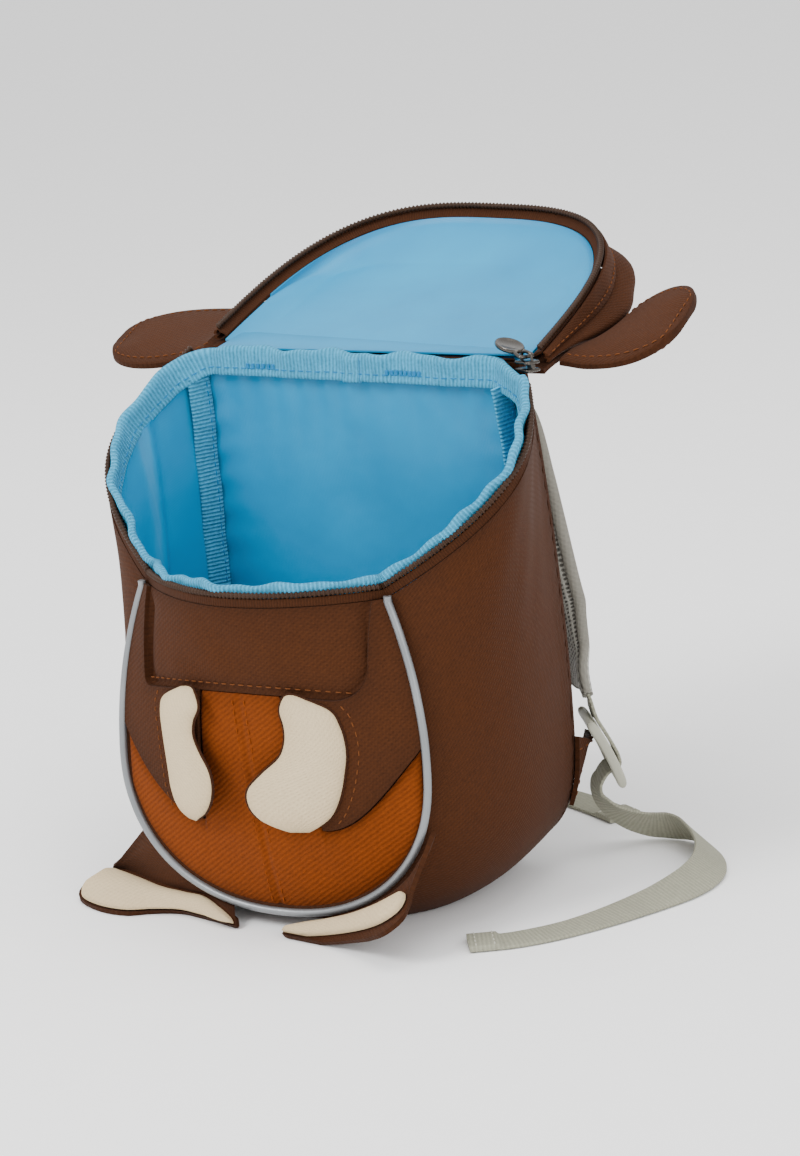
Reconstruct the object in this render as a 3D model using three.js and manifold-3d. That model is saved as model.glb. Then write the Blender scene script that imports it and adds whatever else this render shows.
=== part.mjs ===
// A small child's backpack in the shape of a sitting animal, unzipped, with its lid flipped back.
// Millimetres, X to the right, Y to the back, Z up. The origin is the centre of the base, on the ground.

import * as THREE from "three";
import { mergeVertices } from "three/addons/utils/BufferGeometryUtils.js";
import Module from "manifold-3d";

const wasm = await Module();
wasm.setup();

// Front panel, inside the piping
const frontHalfWidth = 67;
const frontTopHalfWidth = 53.2;
const frontWidestHeight = 65;
const frontBottomHeight = 8;
const frontTopHeight = 131;
const frontRoundness = 2.2;
const pipingDepthLow = 46.5;
const pipingDepthTop = 37.8;
const bellyBulge = 25;
const pipingRadius = 1.5;

// Back panel
const backHalfWidth = 79.5;
const backTopHalfRight = 71.8;
const backTopHalfLeft = 77;
const backWidestHeight = 75;
const backBottomHeight = 3;
const backTopHeight = 203;
const backRoundness = 4;
const backDepth = 50;
const backTopLean = 4;
const backPadding = 7;

// Gusset round the sides and the bottom
const sideBulge = 12;
const bottomBulge = 13;
const mouthFlareRight = 19;
const mouthFlareLeft = 14;
const rimLift = 6.5;

// Cloth layers
const shellThickness = 1.8;
const liningThickness = 1;
const liningSpace = 1.2;
const seamGap = 0.4;

// Chest and arm panels
const chestHalfWidth = 49;
const chestSeamHeight = 98;
const chestCornerHeight = 94;
const armLowHeight = 44;
const armOuterHeight = 76;
const wristTopX = 18;
const wristLowX = 27;

// Hands
const handTop = 99;
const handBottom = 43;
const handReach = 41;
const handThickness = 1.7;
const handStandoff = 0.5;
const handLiftRight = 17;
const handLiftLeft = 24;

// Feet
const footPadding = 2.4;
const soleGap = 0.8;
const legThickness = 1.8;

// Zip and bindings
const zipStart = 0.86;
const tapeLift = 0.6;
const tapeHeight = 4.2;
const tapeThickness = 1;
const coilRadius = 1;
const bindingHeight = 13;
const bindingThickness = 2;
const bindingDrop = 3;
const bindingInset = 7;
const bindingLean = 2.5;
const gatherDepth = 0.7;
const gatherCount = 13;
const seamBindingWidth = 10;
const seamBindingThickness = 1.6;

// Lid, in its own frame: X across, Y away from the hinge, Z out of the lining
const lidHalfWidth = 77.5;
const lidLength = 108;
const lidRoundness = 3;
const lidHingeBehind = 4;
const lidHingeRise = 5.5;
const lidShiftX = -2;
const lidOpenAngle = 21;
const lidTwist = 3.9;
const lidBandDepth = 10;
const lidGussetDepth = 12;
const lidGussetBulge = 6;
const lidFlatShare = 0.16;
const lidRiseLength = 70;
const lidDish = 9;
const lidFaceSag = 4;

// Ears
const earWidth = 62;
const earThickness = 5;

// Straps
const strapWidth = 38;
const strapThickness = 9;
const webbingWidth = 15;
const webbingThickness = 1.4;
const lockLength = 31;
const lockWidth = 24;
const lockThickness = 4;
const lockBar = 4;

// Zip slider and puller
const sliderLength = 9;
const sliderWidth = 7.6;
const sliderHeight = 4.2;
const bridgeWidth = 2.2;
const bridgeWire = 1.1;
const pullWire = 0.7;
const pullLinkLength = 5.5;
const pullLinkHalfWidth = 2.9;
const pullDiscRadius = 6;
const pullDiscThickness = 1.6;
const pullRestAngle = 16;

const brown = { color: 0x54351f, roughness: 0.9, metalness: 0 };
const darkBrown = { color: 0x3a2416, roughness: 0.85, metalness: 0 };
const orange = { color: 0xb8651a, roughness: 0.9, metalness: 0 };
const cream = { color: 0xd9cdb9, roughness: 0.9, metalness: 0 };
const blue = { color: 0x2f9fd0, roughness: 0.45, metalness: 0 };
const paleBlue = { color: 0x72bfdc, roughness: 0.7, metalness: 0 };
const grey = { color: 0x9a978d, roughness: 0.85, metalness: 0 };
const silver = { color: 0x9fa2a3, roughness: 0.4, metalness: 0.3 };
const plastic = { color: 0x9a9a86, roughness: 0.5, metalness: 0 };
const gunmetal = { color: 0x4a4843, roughness: 0.3, metalness: 0.9 };

const { clamp, lerp, degToRad } = THREE.MathUtils;
const point = (x, y, z) => new THREE.Vector3(x, y, z);
const mix = (a, b, t) => a.clone().lerp(b, t);
const range = (n, f) => Array.from({ length: n + 1 }, (_, i) => f(i / n));
const smooth = (t) => THREE.MathUtils.smoothstep(t, 0, 1);

// Builds one closed geometry from vertices and quads or triangles, with its faces pointing out.
function closedGeometry(vertices, faces) {
  const index = faces.flatMap((f) => (f.length === 4 ? [f[0], f[1], f[2], f[0], f[2], f[3]] : f));
  let volume = 0;
  for (let i = 0; i < index.length; i += 3) {
    const [a, b, c] = [vertices[index[i]], vertices[index[i + 1]], vertices[index[i + 2]]];
    volume += a.dot(b.clone().cross(c));
  }
  if (volume < 0) index.reverse();
  const geometry = new THREE.BufferGeometry();
  geometry.setAttribute(
    "position",
    new THREE.Float32BufferAttribute(vertices.flatMap((v) => v.toArray()), 3),
  );
  geometry.setIndex(index);
  geometry.computeVertexNormals();
  return geometry;
}

// The unit normal of a surface of two parameters, by central differences.
function normalOf(surface, u, v) {
  const e = 1e-3;
  const [u0, u1] = [clamp(u - e, 0, 1), clamp(u + e, 0, 1)];
  const [v0, v1] = [clamp(v - e, 0, 1), clamp(v + e, 0, 1)];
  const du = surface(u1, v).sub(surface(u0, v));
  const dv = surface(u, v1).sub(surface(u, v0));
  return du.cross(dv).normalize();
}

// A cloth wall: two faces of one surface, over and under it along its normal, joined round the edge.
// The under face is cut back by trimU and trimV, so that walls that meet at a seam have a mitre.
function wall(surface, { nu, nv, over, under, trimU = 0, trimV = 0, overFloor, underFloor }) {
  const height = (f, u, v) => (typeof f === "function" ? f(u, v) : f);
  const face = (distance, cutU, cutV, floor) =>
    range(nv, (v) =>
      range(nu, (u) => {
        const [a, b] = [lerp(cutU, 1 - cutU, u), lerp(cutV, 1 - cutV, v)];
        const p = surface(a, b).addScaledVector(normalOf(surface, a, b), height(distance, u, v));
        if (floor !== undefined) p.z = Math.max(p.z, floor);
        return p;
      }),
    ).flat();
  const vertices = [...face(over, 0, 0, overFloor), ...face(under, trimU, trimV, underFloor)];
  const [row, size] = [nu + 1, (nu + 1) * (nv + 1)];
  const faces = [];
  for (let j = 0; j < nv; j++)
    for (let i = 0; i < nu; i++) {
      const a = j * row + i;
      faces.push([a, a + 1, a + row + 1, a + row]);
      faces.push([a + size, a + row + size, a + row + 1 + size, a + 1 + size]);
    }
  const bottom = range(nu, (u) => Math.round(u * nu));
  const right = range(nv, (v) => Math.round(v * nv) * row + nu);
  const top = bottom.map((i) => size - 1 - i);
  const left = range(nv, (v) => (nv - Math.round(v * nv)) * row);
  for (const edge of [bottom, right, top, left])
    for (let i = 0; i + 1 < edge.length; i++)
      faces.push([edge[i], edge[i] + size, edge[i + 1] + size, edge[i + 1]]);
  return closedGeometry(vertices, faces);
}

// Frames along a path: each has its point, a direction out to the side and one up, square to the path.
function framesAlong(points, sideways, closed = false) {
  const n = points.length;
  return points.map((p, i) => {
    const before = points[closed ? (i + n - 1) % n : Math.max(i - 1, 0)];
    const after = points[closed ? (i + 1) % n : Math.min(i + 1, n - 1)];
    const along = after.clone().sub(before).normalize();
    const out = sideways(i / (n - 1), along).clone();
    out.addScaledVector(along, -out.dot(along)).normalize();
    return { p, out, up: out.clone().cross(along).normalize() };
  });
}

// Sweeps a closed section of [out, up] pairs along frames. section may change with the place.
function sweep(frames, section, closed = false) {
  const rings = frames.map((f, i) =>
    section(i / (frames.length - 1)).map(([a, b]) =>
      f.p.clone().addScaledVector(f.out, a).addScaledVector(f.up, b),
    ),
  );
  const k = rings[0].length;
  const n = rings.length;
  const faces = [];
  for (let i = 0; i < (closed ? n : n - 1); i++)
    for (let j = 0; j < k; j++) {
      const [a, b] = [i * k, ((i + 1) % n) * k];
      const next = (j + 1) % k;
      faces.push([a + j, a + next, b + next, b + j]);
    }
  if (!closed) {
    const outline = section(0).map(([a, b]) => new THREE.Vector2(a, b));
    const clockwise = THREE.ShapeUtils.isClockWise(outline);
    const end = (n - 1) * k;
    for (const [a, b, c] of THREE.ShapeUtils.triangulateShape(outline, [])) {
      faces.push(clockwise ? [a, b, c] : [a, c, b]);
      faces.push(clockwise ? [end + a, end + c, end + b] : [end + a, end + b, end + c]);
    }
  }
  return closedGeometry(rings.flat(), faces);
}

const rectangle = (width, height, a = 0, b = 0) => [
  [a - width / 2, b - height / 2],
  [a + width / 2, b - height / 2],
  [a + width / 2, b + height / 2],
  [a - width / 2, b + height / 2],
];
const circle = (radius, sides, a = 0, b = 0) =>
  range(sides - 1, (t) => (t * (sides - 1) * 2 * Math.PI) / sides).map((angle) => [
    a + radius * Math.cos(angle),
    b + radius * Math.sin(angle),
  ]);
const lozenge = (width, height) =>
  circle(1, 8).map(([a, b]) => [
    (width / 2) * Math.sign(a) * Math.abs(a) ** 0.6,
    (height / 2) * Math.sign(b) * Math.abs(b) ** 0.8,
  ]);

// A smooth curve through the rows of a table, read at n + 1 even places.
function throughRows(rows, n) {
  const curve = new THREE.CatmullRomCurve3(
    rows.map((r) => point(r.x, r.y, r.z)),
    false,
    "centripetal",
  );
  return range(n, (t) => curve.getPoint(t));
}

// Reads a table column between its rows, at a share of its length.
function column(rows, name, t) {
  const place = clamp(t, 0, 1) * (rows.length - 1);
  const i = Math.min(Math.floor(place), rows.length - 2);
  return lerp(rows[i][name], rows[i + 1][name], place - i);
}

// Body

const cornerShare = 0.55;

// Where a place w from -1 (left top) over 0 (bottom centre) to 1 (right top) lies on a U-shaped seam.
function seamShape(w, { half, topHalf, widest, bottom, top, roundness, taper }) {
  const side = Math.sign(w) || 1;
  const share = Math.min(Math.abs(w) / cornerShare, 1);
  const angle = (share * Math.PI) / 2;
  const rise = clamp((Math.abs(w) - cornerShare) / (1 - cornerShare), 0, 1);
  const power = 2 / roundness;
  return {
    x: side * (half * Math.sin(angle) ** power - (half - topHalf(side)) * rise ** taper),
    z: share < 1 ? widest - (widest - bottom) * Math.cos(angle) ** power : lerp(widest, top, rise),
    out: point(side * Math.sin(angle), 0, -Math.cos(angle)),
    rise,
    share,
    side,
  };
}

const frontSeam = {
  half: frontHalfWidth,
  topHalf: () => frontTopHalfWidth,
  widest: frontWidestHeight,
  bottom: frontBottomHeight,
  top: frontTopHeight,
  roundness: frontRoundness,
  taper: 2,
};
const backSeam = {
  half: backHalfWidth,
  topHalf: (side) => (side > 0 ? backTopHalfRight : backTopHalfLeft),
  widest: backWidestHeight,
  bottom: backBottomHeight,
  top: backTopHeight,
  roundness: backRoundness,
  taper: 1.5,
};

const frontHeightShare = (z) =>
  clamp((z - frontBottomHeight) / (frontTopHeight - frontBottomHeight), 0, 1);
const pipingY = (z) => -lerp(pipingDepthLow, pipingDepthTop, frontHeightShare(z));

// Half the width of the front panel at a height.
function frontHalfAt(z) {
  if (z < frontWidestHeight) {
    const drop = (frontWidestHeight - z) / (frontWidestHeight - frontBottomHeight);
    return frontHalfWidth * (1 - clamp(drop, 0, 1) ** frontRoundness) ** (1 / frontRoundness);
  }
  const rise = clamp((z - frontWidestHeight) / (frontTopHeight - frontWidestHeight), 0, 1);
  return frontHalfWidth - (frontHalfWidth - frontTopHalfWidth) * rise ** 2;
}

// The lower edge of the front panel at a distance from the middle.
function frontLowAt(x) {
  const share = clamp(Math.abs(x) / frontHalfWidth, 0, 1);
  const drop = (1 - share ** frontRoundness) ** (1 / frontRoundness);
  return frontWidestHeight - (frontWidestHeight - frontBottomHeight) * drop;
}

// The front surface, which swells out from the piping.
function frontPoint(x, z) {
  const bulge = bellyBulge * (1 - (1 - frontHeightShare(z)) ** 1.6);
  const across = clamp(Math.abs(x) / Math.max(frontHalfAt(z), 1), 0, 1);
  return point(x, pipingY(z) - bulge * (1 - across ** 2), z);
}

function pipingPoint(w) {
  const s = seamShape(w, frontSeam);
  return point(s.x, pipingY(s.z), s.z);
}

function backSeamPoint(w) {
  const s = seamShape(w, backSeam);
  return point(s.x, backDepth - backTopLean * s.rise ** 3, s.z);
}

// The gusset: from the piping, t = 0, to the back seam, t = 1. It flares at the open mouth and lies
// flat on the ground under the bag.
function gussetPoint(w, t) {
  const s = seamShape(w, frontSeam);
  const flare = s.side > 0 ? mouthFlareRight : mouthFlareLeft;
  const amount = lerp(bottomBulge, sideBulge, s.share) + flare * s.rise ** 2.5;
  const hump = 4 * t * (1 - t);
  const p = mix(pipingPoint(w), backSeamPoint(w), t);
  p.addScaledVector(s.out, amount * hump * (1 + 0.4 * (1 - 2 * t)));
  p.z += rimLift * s.rise ** 4 * hump * (1 + 0.7 * (1 - 2 * t));
  p.z = Math.max(p.z, 0);
  return p;
}

const gussetShare = seamGap / (backDepth + pipingDepthLow);
const gussetSurface = (start, end, top) => (u, v) =>
  gussetPoint(lerp(-top, top, u), lerp(start, end, v));

const sideGusset = () =>
  wall(gussetSurface(2 * gussetShare, 1 - 0.8 * gussetShare, 1), {
    nu: 34,
    nv: 7,
    over: 0,
    under: shellThickness,
    trimV: 2.2 * gussetShare,
    overFloor: 0,
    underFloor: shellThickness,
  });

const liningOver = shellThickness + liningSpace;
const liningUnder = liningOver + liningThickness;

const liningGusset = () =>
  wall(gussetSurface(0.06, 0.95, 0.965), {
    nu: 24,
    nv: 5,
    over: liningOver,
    under: liningUnder,
    overFloor: liningOver + liningSpace / 2,
    underFloor: liningUnder + liningSpace / 2,
  });

// Panels of the front, cut out of the one front surface.
const frontWall = (flat, options) =>
  wall((u, v) => {
    const [x, z] = flat(u, v);
    return frontPoint(x, z);
  }, { over: 0, under: -shellThickness, ...options });

const seamHeight = (x) =>
  lerp(chestSeamHeight, chestCornerHeight, clamp(Math.abs(x) / chestHalfWidth, 0, 1) ** 2);

const chestPanel = () =>
  frontWall(
    (u, v) => {
      const half = Math.min(chestHalfWidth, frontHalfAt(frontTopHeight) - 3) - seamGap;
      const x = lerp(-half, half, u);
      return [x, lerp(seamHeight(x) + seamGap, frontTopHeight, v)];
    },
    { nu: 10, nv: 4 },
  );

// The arm: a sleeve from the shoulder, beside the chest, down and in to the wrist.
function armPanel(side) {
  const outer = (t) => {
    const bend = 0.5;
    if (t < bend) {
      const z = lerp(frontTopHeight, armOuterHeight, t / bend);
      return [frontHalfAt(z) - 2 * seamGap, z];
    }
    const k = (t - bend) / (1 - bend);
    const from = frontHalfAt(armOuterHeight) - 2 * seamGap;
    return [lerp(from, wristLowX, k), lerp(armOuterHeight, armLowHeight, Math.sin((k * Math.PI) / 2))];
  };
  const inner = (t) => {
    const bend = 0.5;
    const side = Math.min(chestHalfWidth, frontHalfAt(frontTopHeight) - 3) + seamGap;
    if (t < bend) return [side, lerp(frontTopHeight, seamHeight(side) - seamGap, t / bend)];
    const x = lerp(side, wristTopX, (t - bend) / (1 - bend));
    return [x, seamHeight(x) - seamGap];
  };
  return frontWall(
    (u, v) => {
      const [[ax, az], [bx, bz]] = [outer(u), inner(u)];
      return [side * lerp(ax, bx, v), lerp(az, bz, v)];
    },
    { nu: 12, nv: 4, under: side * shellThickness },
  );
}

// The belly: columns from the piping up to the chest seam in the middle and to the arms at the sides.
function bellyPanel() {
  const widest = frontHalfAt(armOuterHeight) - 2.5 * seamGap;
  const top = (x) => {
    const a = Math.abs(x);
    if (a < wristTopX - seamGap) return seamHeight(x) - seamGap;
    if (a < wristLowX - seamGap) {
      const k = (a - wristTopX + seamGap) / (wristLowX - wristTopX);
      return lerp(seamHeight(x) - 2 * seamGap, armLowHeight - 2 * seamGap, k);
    }
    const k = (a - wristLowX) / (widest - wristLowX);
    return lerp(armOuterHeight, armLowHeight, Math.cos((clamp(k, 0, 1) * Math.PI) / 2)) - 3 * seamGap;
  };
  const columns = [-1, -0.93, -0.8, -0.62, -0.5, -0.405, -0.33, -0.262, -0.12];
  const places = [...columns, 0, ...columns.map((c) => -c).reverse()];
  const xs = places.map((c) => c * widest);
  return frontWall(
    (u, v) => {
      const i = clamp(Math.floor(u * (xs.length - 1)), 0, xs.length - 2);
      const x = lerp(xs[i], xs[i + 1], u * (xs.length - 1) - i);
      return [x, lerp(frontLowAt(x) + 2 * seamGap, top(x), v)];
    },
    { nu: xs.length - 1, nv: 5 },
  );
}

const liningFront = () =>
  frontWall(
    (u, v) => {
      const z = lerp(frontBottomHeight + 14, frontTopHeight - 1.5, v);
      const half = frontHalfAt(z) - 7;
      return [lerp(-half, half, u), z];
    },
    { nu: 10, nv: 8, over: -liningOver, under: -liningUnder },
  );

// The back panel is flat inside and padded outside.
function backSurface(inset) {
  return (u, v) => {
    const z = lerp(backBottomHeight + inset, backTopHeight - inset / 2, v);
    const drop = clamp((backWidestHeight - z) / (backWidestHeight - backBottomHeight), 0, 1);
    const rise = clamp((z - backWidestHeight) / (backTopHeight - backWidestHeight), 0, 1);
    const halfTo = (side) =>
      backHalfWidth * (1 - drop ** backRoundness) ** (1 / backRoundness) -
      (backHalfWidth - backSeam.topHalf(side)) * rise ** backSeam.taper -
      inset;
    return point(lerp(-halfTo(-1), halfTo(1), u), backDepth - backTopLean * rise ** 3, z);
  };
}

const backPanel = () =>
  wall(backSurface(0), {
    nu: 10,
    nv: 8,
    over: 0,
    under: (u, v) => {
      const edge = Math.min(1, 6 * Math.min(u, 1 - u), 7 * Math.min(v, 1 - v));
      return -(shellThickness + backPadding * Math.sqrt(edge));
    },
  });

const liningBack = () =>
  wall(backSurface(5.5), { nu: 8, nv: 8, over: 1.6 + liningThickness, under: 1.6 });

function piping() {
  const points = range(30, (t) => {
    const w = lerp(-0.995, 0.995, t);
    const s = seamShape(w, frontSeam);
    const proud = s.out.clone().multiplyScalar(0.66).add(point(0, -0.75, 0)).normalize();
    return pipingPoint(w).addScaledVector(proud, pipingRadius + 0.4);
  });
  return sweep(
    framesAlong(points, () => point(0, -1, 0)),
    () => circle(pipingRadius, 6),
  );
}

// Mouth

// The rim from the right back corner over the front to the left back corner. The zip starts a little
// later, in front of its slider.
function rimPoints(sideSteps, frontSteps, start = 1) {
  const right = range(sideSteps, (t) => gussetPoint(1, lerp(start, 0, t)));
  const left = range(sideSteps, (t) => gussetPoint(-1, t));
  const front = range(frontSteps, (t) =>
    frontPoint(lerp(frontTopHalfWidth, -frontTopHalfWidth, t), frontTopHeight),
  );
  return [...right, ...front.slice(1, -1), ...left];
}

// Frames on the rim that face out of the bag and up, evened out across the corners.
function rimFrames(points, closed = false) {
  const frames = framesAlong(points, (t, along) => point(-along.y, along.x, 0), closed);
  const n = frames.length;
  const turned = frames.map((f, i) => {
    const near = [-1, 0, 1].map((k) => frames[closed ? (i + k + n) % n : clamp(i + k, 0, n - 1)].out);
    const out = near[0].clone().add(near[1]).add(near[2]).normalize();
    return { p: f.p, out, up: f.up };
  });
  return turned.map((f) => {
    const up = f.up.z < 0 ? f.up.clone().negate() : f.up.clone();
    return { p: f.p, out: f.out, up };
  });
}

const bodyZipTape = () =>
  sweep(rimFrames(rimPoints(10, 8, zipStart)), () =>
    rectangle(tapeThickness, tapeHeight, -tapeThickness / 2 - 0.2, tapeLift + tapeHeight / 2),
  );

const coilRise = tapeLift + tapeHeight + 0.3 + coilRadius;
const bodyZipCoil = () =>
  sweep(rimFrames(rimPoints(10, 8, zipStart)), () =>
    circle(coilRadius, 6, -tapeThickness / 2 - 0.2, coilRise),
  );

// A closed loop inside the rim, a little gathered.
function rimBinding() {
  const rim = rimFrames(rimPoints(14, 12));
  const inside = rim
    .map((f) => f.p.clone().addScaledVector(f.out, -bindingInset))
    .slice(2, -2);
  const [first, last] = [inside[0], inside[inside.length - 1]];
  const backY = backDepth - backTopLean - bindingInset;
  const from = -backTopHalfLeft + 8;
  const to = backTopHalfRight - 9;
  const back = range(9, (t) => point(lerp(from, to, t), backY, backTopHeight - lerp(3.5, 6, t)));
  const loop = [
    ...inside,
    mix(last, back[0], 0.55).add(point(-1.6, 1.2, 0)),
    ...back,
    mix(first, back[9], 0.55).add(point(1.6, 1.2, 0)),
  ];
  const frames = rimFrames(loop, true);
  return sweep(
    frames.map((f, i) => ({
      ...f,
      p: f.p
        .clone()
        .addScaledVector(f.out, gatherDepth * Math.sin((i / frames.length) * 2 * Math.PI * gatherCount)),
    })),
    () => [
      [-bindingThickness / 2, -bindingDrop],
      [bindingThickness / 2, -bindingDrop],
      [bindingThickness / 2 + bindingLean, bindingHeight - bindingDrop],
      [-bindingThickness / 2 + bindingLean, bindingHeight - bindingDrop],
    ],
    true,
  );
}

// The bound seam that runs down an inner back corner.
function seamBinding(side) {
  const points = range(9, (t) => {
    const w = side * lerp(0.985, 0.5, t);
    const p = backSeamPoint(w);
    return point(p.x - side * 6.4, p.y - 8.6, p.z - 6);
  });
  const fold = point(-side * 0.3, -1, 0).normalize();
  return sweep(
    framesAlong(points, () => fold),
    () => rectangle(seamBindingWidth, seamBindingThickness),
  );
}

// Hands

// Rows from the top down: where the outer edge lies and how wide the hand is, as shares of its reach.
const rightHandRows = [
  { outer: 0.66, width: 0.22 },
  { outer: 0.9, width: 0.49 },
  { outer: 0.97, width: 0.53 },
  { outer: 1.0, width: 0.57 },
  { outer: 1.0, width: 0.64 },
  { outer: 0.97, width: 0.79 },
  { outer: 0.93, width: 0.9 },
  { outer: 0.87, width: 0.86 },
  { outer: 0.78, width: 0.7 },
  { outer: 0.62, width: 0.34 },
];
const leftHandRows = [
  { outer: 0.7, width: 0.36 },
  { outer: 0.92, width: 0.62 },
  { outer: 0.97, width: 0.56 },
  { outer: 0.97, width: 0.52 },
  { outer: 0.97, width: 0.6 },
  { outer: 0.97, width: 0.72 },
  { outer: 0.97, width: 0.74 },
  { outer: 0.97, width: 0.68 },
  { outer: 0.94, width: 0.52 },
  { outer: 0.86, width: 0.24 },
];

// A hand hangs from its outer edge and lifts off the belly towards its inner edge.
function handSurface(side, { rows, lift }) {
  const angle = degToRad(lift);
  return (u, v) => {
    const z = lerp(handTop, handBottom, v);
    const outer = column(rows, "outer", v) * handReach;
    const width = column(rows, "width", v) * handReach * u;
    const edge = frontPoint(side * outer, z);
    const forward = handStandoff + handThickness + width * Math.sin(angle);
    return point(edge.x - side * width * Math.cos(angle), edge.y - forward, z);
  };
}

function hand(side, shape, over, under) {
  const face = handSurface(side, shape);
  const round = (u, v) => Math.min(1, 0.45 + 3 * Math.min(u, 1 - u, v, 1 - v));
  return wall(face, {
    nu: 4,
    nv: 9,
    over: (u, v) => side * over * round(u, v),
    under: (u, v) => side * under * round(u, v),
  });
}

// Legs and feet

// Rows from the toe to the heel: the free edge of the foot and the line where the leg meets the foot.
const leftFootRows = [
  { freeX: -14.5, freeY: -56.5, freeZ: 0.4, meetX: -17, meetY: -53.5, meetZ: 4.5 },
  { freeX: -25, freeY: -53, freeZ: 0.3, meetX: -25, meetY: -50, meetZ: 7 },
  { freeX: -36, freeY: -50, freeZ: 0.3, meetX: -36, meetY: -43.5, meetZ: 8 },
  { freeX: -47, freeY: -48, freeZ: 0.3, meetX: -46, meetY: -41.5, meetZ: 8 },
  { freeX: -58, freeY: -51, freeZ: 0.3, meetX: -58, meetY: -39.5, meetZ: 8 },
  { freeX: -67, freeY: -55.5, freeZ: 0.3, meetX: -70, meetY: -34, meetZ: 8 },
  { freeX: -79, freeY: -55, freeZ: 0.3, meetX: -80, meetY: -29.5, meetZ: 8 },
  { freeX: -91, freeY: -50, freeZ: 0.5, meetX: -87, meetY: -27, meetZ: 8 },
  { freeX: -98, freeY: -43, freeZ: 3, meetX: -90, meetY: -27, meetZ: 8 },
  { freeX: -96, freeY: -35, freeZ: 7.5, meetX: -92, meetY: -27.5, meetZ: 8 },
];
const rightFootRows = [
  { freeX: 5, freeY: -58, freeZ: 0.2, meetX: 7, meetY: -55, meetZ: 3.5 },
  { freeX: 18, freeY: -60, freeZ: 0.4, meetX: 16, meetY: -53.5, meetZ: 6 },
  { freeX: 30, freeY: -62, freeZ: 2.5, meetX: 27, meetY: -53, meetZ: 8.5 },
  { freeX: 42, freeY: -66, freeZ: 6, meetX: 38, meetY: -54, meetZ: 12 },
  { freeX: 53, freeY: -71, freeZ: 10, meetX: 49, meetY: -55, meetZ: 17 },
  { freeX: 62, freeY: -75, freeZ: 14.5, meetX: 58, meetY: -57, meetZ: 22 },
  { freeX: 68, freeY: -73, freeZ: 19, meetX: 64, meetY: -59, meetZ: 25.5 },
  { freeX: 70, freeY: -68, freeZ: 22.5, meetX: 67, meetY: -61, meetZ: 27 },
];

const footPoint = (rows, t, k) =>
  point(
    lerp(column(rows, "meetX", t), column(rows, "freeX", t), k),
    lerp(column(rows, "meetY", t), column(rows, "freeY", t), k),
    lerp(column(rows, "meetZ", t), column(rows, "freeZ", t), k),
  );

// The brown leg: from the piping seam out to the line of the foot and on under the sole.
function legSurface(side, { rows, rootFrom, rootTo, rootGap }) {
  return (u, v) => {
    const w = side * lerp(rootFrom, rootTo, u);
    const s = seamShape(w, frontSeam);
    const root = pipingPoint(w)
      .addScaledVector(s.out, pipingRadius + rootGap)
      .add(point(0, 0.4, 0));
    root.z = Math.max(root.z, legThickness + 0.4);
    const bend = 0.4;
    const meet = footPoint(rows, u, 0);
    if (v < bend) return mix(root, meet, v / bend);
    return footPoint(rows, u, (v - bend) / (1 - bend));
  };
}

function leg(side, foot) {
  return wall(legSurface(side, foot), {
    nu: 12,
    nv: 5,
    over: 0,
    under: side * legThickness,
    overFloor: legThickness,
    underFloor: 0,
  });
}

function footSole(side, rows) {
  const face = (u, v) => footPoint(rows, lerp(0.02, 0.93, u), lerp(0.12, 0.97, v));
  const puff = (u, v) => 0.8 + footPadding * Math.min(1, 4 * Math.min(u, 1 - u), 3 * Math.min(v, 1 - v));
  return wall(face, {
    nu: 12,
    nv: 3,
    over: (u, v) => -side * (soleGap + puff(u, v)),
    under: -side * soleGap,
    overFloor: legThickness + soleGap + 0.8,
    underFloor: legThickness + soleGap,
  });
}

// Lid

// How much of its full depth the lid has at a distance from the hinge, where it is pressed flat.
const lidDepthShare = (y) => lerp(lidFlatShare, 1, smooth(clamp(y / lidRiseLength, 0, 1)));

// The lid's outline from the right hinge corner round to the left one, grown outwards by a distance.
function lidOutline(t, grow = 0) {
  const angle = lerp(0, Math.PI, t);
  const power = 2 / lidRoundness;
  const [c, s] = [Math.cos(angle), Math.sin(angle)];
  return point(
    (lidHalfWidth + grow) * Math.sign(c) * Math.abs(c) ** power,
    (lidLength + grow) * Math.max(s, 0) ** power,
    0,
  );
}

// Places on the outline, closer together where it turns.
const lidPlaces = (steps) => range(steps, (t) => lerp(0.003, 0.997, t));
const lidFrames = (steps) => {
  const points = lidPlaces(steps).map((t) => lidOutline(t));
  return framesAlong(points, (t, along) => point(along.y, -along.x, 0)).map((f) => ({
    p: f.p,
    out: f.out,
    up: point(0, 0, 1),
  }));
};

const lidSweep = (steps, section) => {
  const frames = lidFrames(steps);
  return sweep(frames, (t) => section(lidDepthShare(frames[Math.round(t * (frames.length - 1))].p.y)));
};

const lidZipCoil = () => lidSweep(22, () => circle(coilRadius, 6, -coilRadius, -coilRadius));
const lidZipTape = () =>
  lidSweep(22, () => [
    [-0.5, -2 * coilRadius - 0.4],
    [-4.2, -4.6],
    [-4.4, -5.6],
    [-0.7, -3.5],
  ]);

// Two bands of cloth make the side of the lid: a narrow one by the zip, then a wider one that swells.
const bandTop = -3;
const seamOut = lidGussetBulge * 0.7;
const lidSeamZ = (y) => bandTop - (lidBandDepth + lidGussetDepth) * lidDepthShare(y);
const lidBand = () =>
  lidSweep(22, (k) => [
    [0.2, bandTop],
    [1.2, bandTop],
    [2.6, bandTop - lidBandDepth * k],
    [0.8, bandTop - lidBandDepth * k],
  ]);
const lidGusset = () =>
  lidSweep(22, (k) => {
    const top = bandTop - lidBandDepth * k - 0.5;
    const low = top - lidGussetDepth * k;
    const swell = lidGussetBulge * k;
    return [
      [1.0, top],
      [2.8, top + 0.2],
      [swell + 1.4, lerp(top, low, 0.35)],
      [swell + 1.8, lerp(top, low, 0.7)],
      [seamOut * k, low],
      [seamOut * k - 1.4, low + 0.6],
      [swell, lerp(top, low, 0.65)],
      [swell - 0.4, lerp(top, low, 0.4)],
    ];
  });

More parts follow.
